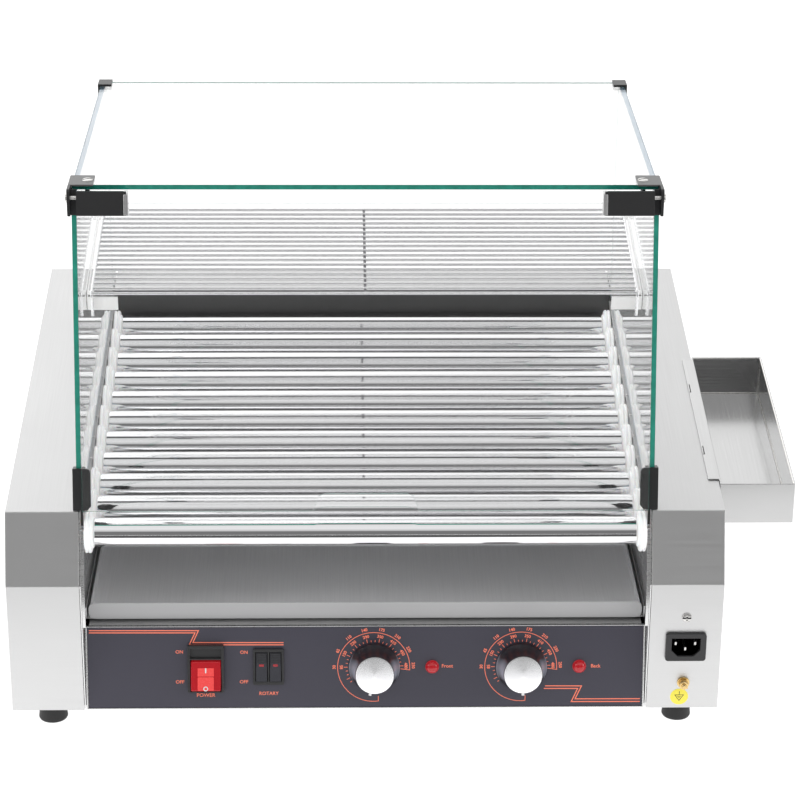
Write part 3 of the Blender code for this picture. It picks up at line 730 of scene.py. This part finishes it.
def tray_bends():
    """Bend lines of the side tray's floor, and the hem folded along its rim, drawn as rods in a paler metal
    than the tray as a painted highlight.
    """
    low, high = node_box("side_tray")
    hook = 8.9
    left_x, right_x = low.x + hook + TRAY_SHEET, high.x - TRAY_SHEET
    front_y, back_y = low.y + TRAY_SHEET, high.y - TRAY_SHEET
    deep, bend, hem = TRAY_RIM + TRAY_SHEET - TRAY_DEPTH, 0.6, 0.7

    def line(points, radius):
        return rod([(x, y, top_z(y) + up) for x, y, up in points], radius, BODY)

    def round_corner(inset, up):
        x, y = right_x - inset, back_y - inset
        return [(x, front_y, up), (x, y, up), (left_x, y, up)]

    corner = (right_x - bend / 2, back_y - bend / 2)
    upright = [(*corner, deep), (*corner, TRAY_RIM - 1.2)]
    parts = [line(round_corner(bend / 2, deep + 0.3), bend), line(upright, bend),
             line(round_corner(0.1, TRAY_RIM - hem), hem)]
    piece("tray_bends", parts, "zinc", "side_tray_body")


tray_bends()


# ---------------------------------------------------------------- rollers and bushes

ROLLER_RADIUS = 12.0
BUSH_IN, BUSH_OUT = (corner.x for corner in node_box("right_bush_row"))
TUBE_END = BUSH_IN - 0.3
JOURNAL = 7.0
BUSH_RADIUS = 16.8


def roller(i):
    node = f"roller_{i:02d}"
    low, high = node_box(node)
    place = along_x(middle(node))
    r, start, end = ROLLER_RADIUS, low.x, high.x
    tube = [(0, -TUBE_END), (JOURNAL, -TUBE_END), (r - 1.0, -TUBE_END), (r - 0.3, -TUBE_END + 0.3),
            (r, -TUBE_END + 1.1), (r, TUBE_END - 1.1), (r - 0.3, TUBE_END - 0.3), (r - 1.0, TUBE_END),
            (JOURNAL, TUBE_END), (JOURNAL, end - 0.6), (JOURNAL - 0.6, end), (0, end)]
    sprocket, points = 4.0, 36
    hub = [(0, -TUBE_END + 1), (JOURNAL, -TUBE_END + 1), (JOURNAL, start + sprocket), (JOURNAL, start),
           (0, start)]
    valleys, tips = polygon(8.2, points), polygon(9.2, points)
    teeth = [tips[k] if k % 2 else valleys[k] for k in range(points)]
    parts = [lathe(tube, place, 96), lathe(hub, place, 32), prism(teeth, start, start + sprocket, place)]
    piece(f"tube_{i:02d}", parts, "chrome", node + "_body", stands_for=[node])


def bushes(side):
    label = side_name(side)
    r, w = BUSH_RADIUS, BUSH_OUT - BUSH_IN
    bore = 7.4
    profile = [(bore, 0.0), (11.8, 0.0), (12.6, 0.4), (12.9, 1.3), (r - 2.4, 1.5), (r - 0.8, 1.8),
               (r - 0.2, 2.4), (r, 3.2), (r, w - 3.4), (r - 0.3, w - 2.9), (r - 1.5, w - 2.7),
               (r - 1.5, w - 1.9), (r - 0.2, w - 1.7), (r, w - 1.2), (r, w - 0.5), (r - 0.4, w), (bore, w),
               (bore, 0.0)]
    for i in range(1, ROLLER_COUNT + 1):
        place = along_x(middle(f"roller_{i:02d}"))
        turned = [(radius, side * (BUSH_IN + h)) for radius, h in profile]
        stands = [f"{label}_bush_row"] if i == 1 else ()
        piece(f"{label}_bush_{i:02d}", [lathe(turned, place, 56)], "ptfe", GRILL, stands_for=stands)


for i in range(1, ROLLER_COUNT + 1):
    roller(i)
for side in (-1, 1):
    bushes(side)


# ---------------------------------------------------------------- controls

front_u, back_u = centre("front_heat_knob").x, centre("back_heat_knob").x
LAMPS = {zone: centre(f"{zone}_heat_lamp").x for zone in ("front", "back")}
KEYS = {label: centre(f"rotary_rocker_{label}").x for label in ("left", "right")}
POWER = (centre("power_rocker").x, 28.9)
CONTROL_V, ROTARY_V = 34.6, 35.4


def knob(zone, u, turn):
    place = shifted(PANEL, u, CONTROL_V)
    body = f"{zone}_knob"
    skirt = [(3.4, 1.2), (20.0, 1.2), (20.7, 1.5), (20.9, 2.2), (20.8, 3.0), (20.2, 4.2), (19.2, 6.0),
             (18.0, 8.4), (17.0, 11.4), (16.4, 15.0), (16.1, 19.0), (15.9, 21.2), (15.4, 21.7), (3.4, 21.7),
             (3.4, 1.2)]
    piece(f"{zone}_knob_skirt", [lathe(skirt, place, 96)], "gloss", body,
          stands_for=[f"{zone}_heat_knob"])
    cap = [(0, 21.2), (15.0, 21.2), (15.4, 21.6), (15.4, 22.9), (15.1, 23.25), (14.6, 23.4), (0, 23.4)]
    piece(f"{zone}_knob_cap", [lathe(cap, Matrix.Scale(MM, 4), 96)], "spun", body, angle=25,
          place=place @ Matrix.Scale(1 / MM, 4))
    turned = place @ Matrix.Rotation(turn, 4, "Z")
    mark = prism(rounded(-1.1, 1.1, -17.6, -14.0, 0.3, 2), 20.6, 22.7, turned)
    piece(f"{zone}_knob_mark", [mark], "white", body, width=0.2)


def spun():
    mat, nt, shader = node_tree("spun_cap")
    coord = nt.nodes.new("ShaderNodeTexCoord")
    apart = nt.nodes.new("ShaderNodeSeparateXYZ")
    link(nt, coord.outputs["Object"], apart.inputs[0])
    flat = nt.nodes.new("ShaderNodeCombineXYZ")
    link(nt, apart.outputs[0], flat.inputs[0])
    link(nt, apart.outputs[1], flat.inputs[1])
    far = nt.nodes.new("ShaderNodeVectorMath")
    far.operation = "LENGTH"
    link(nt, flat.outputs[0], far.inputs[0])
    rings = nt.nodes.new("ShaderNodeTexNoise")
    rings.noise_dimensions = "1D"
    rings.inputs["Scale"].default_value = 5200
    link(nt, far.outputs["Value"], rings.inputs["W"])
    colour = blend_colour(nt, ranged(nt, rings.outputs["Fac"], 0, 1), (0.86, 0.86, 0.88), (0.98, 0.98, 1.0))
    link(nt, colour, shader.inputs["Base Color"])
    link(nt, ranged(nt, rings.outputs["Fac"], 0.22, 0.32), shader.inputs["Roughness"])
    shader.inputs["Metallic"].default_value = 1.0
    shader.inputs["Anisotropic"].default_value = 0.85
    # The cap glows a little by emission: painted light.
    shader.inputs["Emission Color"].default_value = (1, 1, 1, 1)
    shader.inputs["Emission Strength"].default_value = 0.20
    tangent = nt.nodes.new("ShaderNodeTangent")
    tangent.direction_type = "RADIAL"
    tangent.axis = "Z"
    link(nt, tangent.outputs[0], shader.inputs["Tangent"])
    bump(nt, shader, rings.outputs["Fac"], 0.05)
    return mat


M["spun"] = spun()
knob("front", front_u, math.radians(-13))
knob("back", back_u, 0.0)


def lamp(zone):
    place = shifted(PANEL, LAMPS[zone], CONTROL_V)
    dome = [(0, -15.8), (4.1, -15.8), (4.1, 0.2), (5.2, 0.2), (5.4, 0.6), (5.3, 1.6), (4.9, 2.7), (4.1, 3.8),
            (2.9, 4.6), (1.5, 5.05), (0, 5.2)]
    ring = [(5.0, 0.1), (5.6, 0.1), (5.6, 0.9), (5.2, 1.2), (5.0, 1.1), (5.0, 0.1)]
    parts = [lathe(dome, place), lathe(ring, place)]
    piece(f"{zone}_lamp_lens", parts, "red", GRILL, stands_for=[f"{zone}_heat_lamp"])


for zone in LAMPS:
    lamp(zone)

keep("power_switch_body", "black", 0.35)
keep("rotary_switch_body", "black", 0.3)


def from_the_side(u):
    """Local x up the panel, y out of it and z across it, for a rocker's side outline."""
    return axes_at(PANEL, (u, 0, 0), Y, Z, X)


def power_key():
    u, v = POWER
    side = from_the_side(u)
    shape = [(v - 11.6, -5), (v + 11.6, -5), (v + 12.0, 4.0), (v + 8.0, 4.5), (v + 4.0, 5.2), (v, 6.1),
             (v - 4.0, 6.9), (v - 8.0, 7.8), (v - 12.0, 8.8)]
    body = prism(shape, -12.1, 12.1, side)
    piece("power_key_lens", [body], "red", "power_key", width=0.9, stands_for=["power_rocker"],
          segments=3)
    low = shifted(PANEL, u, v - 6.0, 7.55) @ Matrix.Rotation(-math.atan2(2.7, 12.0), 4, "X")
    window = prism(rounded(-6.6, 6.6, -5.6, 5.6, 0.8, 3), -0.35, 0.28, low)
    high = shifted(PANEL, u, v + 3.3, 5.45) @ Matrix.Rotation(-math.atan2(1.7, 8.0), 4, "X")
    upper = prism(rectangle(-6.6, 6.6, -3.4, 3.4), -0.35, 0.22, high)
    piece("power_key_window", [window], "red_light", "power_key")
    piece("power_key_upper_window", [upper], "red_light", "power_key")
    bar = prism(rounded(-0.55, 0.55, -2.0, 2.0, 0.2, 2), 0.0, 0.34, shifted(high, 0, 1.4))
    ring = lathe([(1.2, 0.15), (2.0, 0.15), (2.0, 0.45), (1.2, 0.45), (1.2, 0.15)], shifted(low, 0, -4.0), 32)
    piece("power_key_marks", [bar, ring], "white", "power_key")


power_key()


def rotary_key(label):
    u, v = KEYS[label], ROTARY_V
    side = from_the_side(u)
    shape = [(v - 11.4, -3.5), (v + 11.4, -3.5), (v + 11.8, 1.0), (v + 1.0, 1.6), (v - 11.8, 4.4)]
    body = f"rotary_key_{label}"
    piece(f"{label}_rotary_key", [prism(shape, -4.5, 4.5, side)], "key", body, width=0.35,
          stands_for=[f"rotary_rocker_{label}"])
    first, pitch, fall = 3.6, 1.45, 0.08
    ribs = []
    for k in range(6):
        rib = shifted(PANEL, u, v + first + k * pitch, 1.35 - fall * k)
        ribs.append(prism(rectangle(-3.9, 3.9, -0.36, 0.36), -0.2, 0.35, rib))
    piece(f"{label}_rotary_ribs", ribs, "black", body)
    dot = prism(rounded(-2.0, 2.0, -1.0, 1.0, 0.6, 4), -0.2, 0.3, shifted(PANEL, u, v + 1.2, 1.55))
    piece(f"{label}_rotary_light", [dot], "dim_red", body)


for label in KEYS:
    rotary_key(label)


def arc(radius, start, end, count=72):
    turns = [math.radians(start + (end - start) * k / count) for k in range(count + 1)]
    return [(radius * math.cos(t), radius * math.sin(t)) for t in turns]


def dial_print(u):
    place = shifted(PANEL, u - 0.6, CONTROL_V - 0.2)
    radius, line, first_tick, tick_step, number_step = 29.6, 0.55, 214, 8.4667, 25.4
    circle = arc(radius, -5, 276)
    parts = [ribbon([(22.0, -1.6), (radius, -2.6), *circle[1:-1], (3.9, -29.3), (3.9, -25.0)], line, place)]
    celsius = ("30", "65", "110", "140", "175", "210", "230", "250")
    fahrenheit = ("85", "150", "230", "290", "350", "410", "450", "480")
    for k in range(8):
        angle = math.radians(180 - number_step * k)
        turn = angle - math.pi / 2
        for words, reach in ((celsius[k], 32.4), (fahrenheit[k], 26.4)):
            spot = shifted(place, reach * math.cos(angle), reach * math.sin(angle))
            parts.append(lettering(words, 3.5, spot, turn, 0.03))
    for k in range(26):
        angle = math.radians(first_tick - tick_step * k)
        reach = 24.4 if k % 3 == 1 else 23.0
        c, s = math.cos(angle), math.sin(angle)
        parts.append(ribbon([(21.4 * c, 21.4 * s), (reach * c, reach * s)], line, place))
    return parts


def stripes():
    """Two pairs of bent lines beside the switches and the dials."""
    width = 0.85
    rows = [
        [(-226.0, 66.5), (-136.8, 66.2), (-141.4, 56.0), (-67.4, 55.7)],
        [(-226.0, 64.6), (-139.6, 64.3), (-144.4, 54.1), (-67.4, 53.8)],
        [(147.5, 17.6), (177.5, 17.4), (172.4, 6.2), (226.0, 6.1)],
        [(146.5, 15.3), (174.4, 15.2), (169.3, 3.8), (226.0, 3.7)],
    ]
    return [ribbon(points, width, PANEL) for points in rows]


def fascia_print():
    parts = stripes()
    for u in (front_u, back_u):
        parts += dial_print(u)
    words = (("POWER", -131.3, 10.6, 4.4), ("ROTARY", -79.7, 11.9, 4.1), ("ON", -99.8, 47.4, 4.0),
             ("OFF", -100.0, 22.0, 4.0), ("ON", -152.6, 47.9, 4.0), ("OFF", -152.4, 22.1, 4.0),
             ("Front", 66.8, 35.0, 4.2), ("Back", 188.8, 34.6, 4.2))
    for text, u, v, size in words:
        parts.append(lettering(text, size, shifted(PANEL, u, v)))
    piece("fascia_print", parts, "orange", GRILL, closed=False)


fascia_print()


# ---------------------------------------------------------------- inlet, earth stud and screws

def screw(name, place, radius, body, tall=1.8, cross=False):
    """Round screw head standing on local z, with its slot cut in and a black block in the slot as painted
    shade.
    """
    head = [(0, -0.4), (radius, -0.4), (radius, 0.25 * tall), (radius * 0.93, 0.62 * tall),
            (radius * 0.72, 0.9 * tall), (radius * 0.4, tall), (0, tall)]
    obj = piece(name, [lathe(head, place, 40)], "zinc", body)
    wide, narrow = 1.1 * radius, 0.20 * radius
    # Black block in the slot: painted shade.
    bar = rectangle(-0.9 * radius, 0.9 * radius, -0.95 * narrow, 0.95 * narrow)
    painted_slot_shade = prism(bar, 0.1 * tall, 0.5 * tall, place)
    piece(name + "_slot", [painted_slot_shade], "black", body)
    carve(obj, [prism(rectangle(-wide, wide, -narrow, narrow), 0.4 * tall, 2 * tall, place)])
    if cross:
        bar = rectangle(-narrow, narrow, -0.6 * radius, 0.6 * radius)
        carve(obj, [prism(bar, 0.3 * tall, 2 * tall, place)])


def inlet():
    low, high = node_box("power_inlet")
    x0, x1, z0, z1 = low.x, high.x, low.z, high.z
    place = basis(ORIGIN, X, Z, -Y)
    front, seat = -low.y, 0.3
    flange = prism(rounded(x0, x1, z0, z1, 2.5), seat, front, place)
    middle_x = (x0 + x1) / 2
    neck = prism(rectangle(x0 + 2.9, x1 - 2.9, z0 + 2.3, z1 - 2.3), -20.0, 1.0, place)
    obj = piece("inlet_shell", [flange, neck], "black", GRILL, stands_for=["power_inlet"])
    half, top, bottom, cut, cut_up = 11.8, z1 - 4.2, z0 + 4.4, 5.3, 5.5
    mouth = [(middle_x - half, top), (middle_x - half, bottom + cut_up), (middle_x - half + cut, bottom),
             (middle_x + half - cut, bottom), (middle_x + half, bottom + cut_up), (middle_x + half, top)]
    carve(obj, [prism(mouth, -16.0, 6.0, place)])
    soften(obj, 0.3)
    rise = (top + bottom) / 2
    pins = []
    for dx, dz in ((-8.0, 1.6), (0.0, -3.4), (8.0, 1.6)):
        outline = rounded(middle_x + dx - 0.9, middle_x + dx + 0.9, rise + dz - 1.5, rise + dz + 1.5, 0.5, 3)
        pins.append(prism(outline, -15.8, -1.2, place))
    piece("inlet_pins", pins, "zinc", GRILL, width=0.3)


inlet()


def earth_terminal():
    spot = centre("earth_stud")
    place = out_front(spot.x, spot.z)
    reach = -node_box("earth_stud")[0].y
    thread = [(0, -8.8), (1.8, -8.8)]
    height, pitch = -8.4, 0.7
    while height < reach - 0.8:
        thread += [(2.1, height), (1.75, height + pitch / 2)]
        height += pitch
    thread += [(1.6, reach), (0, reach)]
    washer = [(2.2, 0.3), (5.1, 0.3), (5.1, 1.2), (2.2, 1.2), (2.2, 0.3)]
    parts = [lathe(thread, place, 24), lathe(washer, place, 36)]
    parts.append(prism(polygon(4.0, 6), 1.3, 4.1, place))
    parts.append(prism(polygon(3.9, 6, 0.4), 4.4, 6.6, place))
    piece("earth_terminal", parts, "brass", GRILL, width=0.12, stands_for=["earth_stud"])
    label_z, screw_z = 32.6, 106.2
    label = out_front(spot.x - 2.7, label_z)
    disc = [(0, 0.02), (7.3, 0.02), (7.4, 0.1), (7.3, 0.16), (0, 0.16)]
    piece("earth_label", [lathe(disc, label, 64)], "yellow", GRILL)
    triangle = [(-3.6, 1.6), (3.6, 1.6), (0, -3.6), (-3.6, 1.6), (0, 1.6)]
    strokes = ((triangle, 0.5), ([(0, 5.0), (0, 1.4)], 0.5), ([(-1.6, 0.2), (1.6, 0.2)], 0.4),
               ([(-0.8, -0.9), (0.8, -0.9)], 0.4))
    lines = [ribbon(points, width, label, 0.2) for points, width in strokes]
    piece("earth_mark", lines, "black", GRILL, closed=False)
    screw("front_screw", out_front(spot.x, screw_z), 4.0, GRILL, cross=True)


earth_terminal()


# ---------------------------------------------------------------- hood

keep("hood_top_glass", "top_glass", 0.25)
keep("door_glass", "door_glass", 0.25)
for side in ("left", "right"):
    keep(f"{side}_rear_clip", "black_metal", 0.4)
    keep(f"{side}_lower_bracket", "black_metal", 0.4)
    keep(f"{side}_hinge_clamp", "black_metal", 0.5)
    keep(f"{side}_shelf_bracket", "tongue", 0.2)
    keep(f"{side}_hood_glass", "side_glass", 0.25)

SCREW_HEAD = 1.1
PIVOT = Vector((0, 80.5, 438.0))


DOOR_FOOT, DOOR_RISE = Vector((0, 23.5, 192.5)), Vector((0, 62.7, 247.6)).normalized()


def door_point(s, n):
    """The y and z of the point s up the door and n out of it."""
    out = Vector((0, -DOOR_RISE.z, DOOR_RISE.y))
    return tuple(DOOR_FOOT + DOOR_RISE * s + out * n)[1:]


def corner_bracket(side):
    """Thin arm over the top glass, side plate with the door's pin, and a lip over the side glass's end."""
    label = side_name(side)
    low, high = node_box(f"{label}_corner_bracket")
    outer = max(abs(low.x), abs(high.x))
    top, back = high.z - SCREW_HEAD, high.y
    arm_inner, plate_inner, lip_inner, arm_front = 215.5, 232.9, 228.3, 88.8
    arm = prism(rounded(*both_sides(side, arm_inner, outer), arm_front, back, 1.2, 4), 444.7, top, BODY)
    piece(f"{label}_bracket_arm", [arm], "bracket", "hood", width=0.35,
          stands_for=[f"{label}_corner_bracket"])
    plate = [(76.0, 424.4), (76.6, 423.8), (back, 424.6), (back, 444.9), (arm_front, 444.9),
             (arm_front, top), (77.4, top), (76.0, top - 1.4)]
    side_plate = prism(plate, *both_sides(side, plate_inner, outer), ACROSS)
    piece(f"{label}_bracket_side", [side_plate], "black_metal", "hood", width=0.3)
    lip = [door_point(s, n) for s, n in rectangle(238.0, 258.6, 0.3, 2.3)]
    cover = prism(lip, *both_sides(side, lip_inner, outer - 0.2), ACROSS)
    piece(f"{label}_bracket_lip", [cover], "black", "hood", width=0.3)
    steps = ((0, 221.2), (1.2, 221.2), (1.5, 221.6), (1.5, 233.2), (0, 233.2))
    shaft = [(radius, side * x) for radius, x in steps]
    piece(f"{label}_door_pin", [lathe(shaft, axes_at(BODY, PIVOT, Y, Z, X), 24)], "zinc", "hood")


def hood_screws(side):
    label = side_name(side)
    low, high = node_box(f"{label}_corner_bracket")
    screw_x = side * 220.6
    top = shifted(BODY, screw_x, 100.5, high.z - SCREW_HEAD) @ Matrix.Rotation(0.35, 4, "Z")
    screw(f"{label}_top_screw", top, 4.2, "hood", tall=SCREW_HEAD - 0.05)
    outer = high.x if side > 0 else low.x
    cheek = axes_at(BODY, (outer, PIVOT.y, PIVOT.z), Y * side, Z, X * side)
    screw(f"{label}_pivot_screw", cheek, 3.7, "hood", tall=1.9)
    bolt = shifted(BODY, screw_x, 97.0)
    shank = [(0, 434.8), (3.0, 434.8), (3.4, 435.2), (3.4, 436.6), (2.0, 437.0), (2.0, 440.2), (0, 440.2)]
    piece(f"{label}_top_bolt", [lathe(shank, bolt, 24)], "dark_steel", "hood")


def clamp_end(side):
    """Bright cap that closes the inner end of a hinge clamp."""
    label = side_name(side)
    shape = [(238.4, 0.5), (238.4, 9.5), (254.2, 9.5), (256.4, 8.6), (257.5, 6.4), (257.5, 0.5)]
    outline = [door_point(s, n) for s, n in shape]
    cap = prism(outline, *both_sides(side, 187.1, 190.8), ACROSS)
    piece(f"{label}_clamp_end", [cap], "zinc_plate", "hood_door", width=0.4)


for side in (-1, 1):
    clamp_end(side)
for side in (-1, 1):
    corner_bracket(side)
    hood_screws(side)


def bun_shelf():
    half, wires, radius = 225.3, 19, 1.3
    pitch = (SHELF_DEPTH - 2 * radius) / (wires - 1)
    parts = []
    for i in range(wires):
        d = radius + i * pitch
        parts.append(rod([(-half + radius, d, radius), (half - radius, d, radius)], radius, SHELF, 12))
    bend = 4.0
    for x in (-half + radius, half - radius):
        path = [(x, radius, -LEG + 0.1), (x, radius, -bend), (x, radius + 0.8, -1.2),
                (x, radius + 2.4, radius - 0.5), (x, radius + 5.0, radius), (x, SHELF_DEPTH - radius, radius)]
        parts.append(rod(path, radius, SHELF, 12))
    spine = [(0, 0.2, radius - 0.6), (0, SHELF_DEPTH - 0.2, radius - 0.6)]
    parts.append(rod(spine, radius * 0.9, SHELF, 12, 1))
    piece("wire_shelf", parts, "wire dark_steel", "shelf", stands_for=["bun_shelf"])


bun_shelf()


# ---------------------------------------------------------------- stage, light and camera

def plain(name, colour, glow):
    mat, _, shader = node_tree(name)
    shader.inputs["Base Color"].default_value = (*colour, 1)
    shader.inputs["Roughness"].default_value = 0.9
    shader.inputs["Specular IOR Level"].default_value = 0.0
    shader.inputs["Emission Color"].default_value = (1, 1, 1, 1)
    shader.inputs["Emission Strength"].default_value = glow
    return mat


def card(name, x, y0, y1, z, colour, glow):
    """Flat level sheet from -x to x and y0 to y1, in metres."""
    mesh = bpy.data.meshes.new(name)
    mesh.from_pydata([(a, b, z) for a, b in rectangle(-x, x, y0, y1)], [], [(0, 1, 2, 3)])
    mesh.materials.append(plain(name, colour, glow))
    obj = bpy.data.objects.new(name, mesh)
    bpy.context.scene.collection.objects.link(obj)
    return obj


def flag():
    """Dark card on the floor well in front of the grill, that only its shiny parts see."""
    obj = card("flag", 4.0, -6.0, -0.62, 0.004, (0.04, 0.04, 0.04), 0.07)
    obj.visible_camera = obj.visible_diffuse = obj.visible_transmission = obj.visible_shadow = False


def studio():
    """Soft boxes that run from side to side: pale behind and above, and a darker room in front."""
    world = bpy.data.worlds.new("studio")
    bpy.context.scene.world = world
    world.use_nodes = True
    nt = world.node_tree
    coord = nt.nodes.new("ShaderNodeTexCoord")
    apart = nt.nodes.new("ShaderNodeSeparateXYZ")
    link(nt, coord.outputs["Generated"], apart.inputs[0])
    ahead = calculated(nt, "MULTIPLY", apart.outputs["Y"], -1.0)
    angle = calculated(nt, "ARCTAN2", apart.outputs["Z"], ahead)
    share = calculated(nt, "DIVIDE", angle, math.pi)
    ramp = nt.nodes.new("ShaderNodeValToRGB")
    link(nt, share, ramp.inputs[0])
    stops = [(0.0, 0.40), (0.03, 0.20), (0.15, 0.20), (0.19, 0.66), (0.28, 0.92), (0.45, 0.86), (0.475, 0.07),
             (0.54, 0.07), (0.57, 1.0), (0.80, 1.0), (1.0, 0.9)]
    elements = ramp.color_ramp.elements
    while len(elements) < len(stops):
        elements.new(0.5)
    for element, (place, value) in zip(elements, stops):
        element.position = place
        element.color = (value, value, value, 1)
    across = ranged(nt, apart.outputs["X"], 1.75, 0.95, -0.45, 0.5)
    behind = ranged(nt, share, 1.0, 1.0, 0.5, 0.6)
    link(nt, across, behind.node.inputs["To Max"])
    link(nt, ramp.outputs[0], nt.nodes["Background"].inputs["Color"])
    link(nt, behind, nt.nodes["Background"].inputs["Strength"])


def soft_box(name, place, aim, size, power):
    lamp_data = bpy.data.lights.new(name, "AREA")
    lamp_data.shape = "RECTANGLE"
    lamp_data.size, lamp_data.size_y = size
    lamp_data.energy = power
    obj = bpy.data.objects.new(name, lamp_data)
    bpy.context.scene.collection.objects.link(obj)
    obj.location = place
    obj.rotation_mode = "QUATERNION"
    obj.rotation_quaternion = (Vector(aim) - Vector(place)).to_track_quat("-Z", "Y")


def camera():
    """Long lens, in front of the grill and a little above it."""
    focal_length, sensor_width = 117.9918, 36.0
    seen_from = Vector((-20.734, -1880.982, 1111.562))
    pitch, yaw, roll_angle = (math.radians(a) for a in (23.355, 1.424, 0.469))
    cp, sp = math.cos(pitch), math.sin(pitch)
    ahead = Vector((math.sin(yaw) * cp, math.cos(yaw) * cp, -sp))
    across = Vector((math.cos(yaw), -math.sin(yaw), 0))
    up = across.cross(ahead)
    c, s = math.cos(roll_angle), math.sin(roll_angle)
    right_dir, up_dir = across * c + up * s, up * c - across * s
    data = bpy.data.cameras.new("camera")
    data.sensor_width = sensor_width
    data.lens = focal_length
    data.clip_end = 100.0
    cam = bpy.data.objects.new("camera", data)
    bpy.context.scene.collection.objects.link(cam)
    turn = Matrix((right_dir, up_dir, -ahead)).transposed().to_4x4()
    cam.matrix_world = Matrix.Translation(ORIGIN + seen_from * MM) @ turn
    bpy.context.scene.camera = cam


card("floor", 14.0, -14.0, 14.0, cad_low.z, (0.25, 0.25, 0.25), 1.05)
flag()
studio()
for name, place in (("left_box", (-2.6, -1.0, 1.0)), ("right_box", (2.6, -1.0, 1.0))):
    soft_box(name, place, (0, 0, 0.15), (0.9, 1.3), 10.0)
camera()
bpy.context.scene.view_settings.view_transform = "Standard"
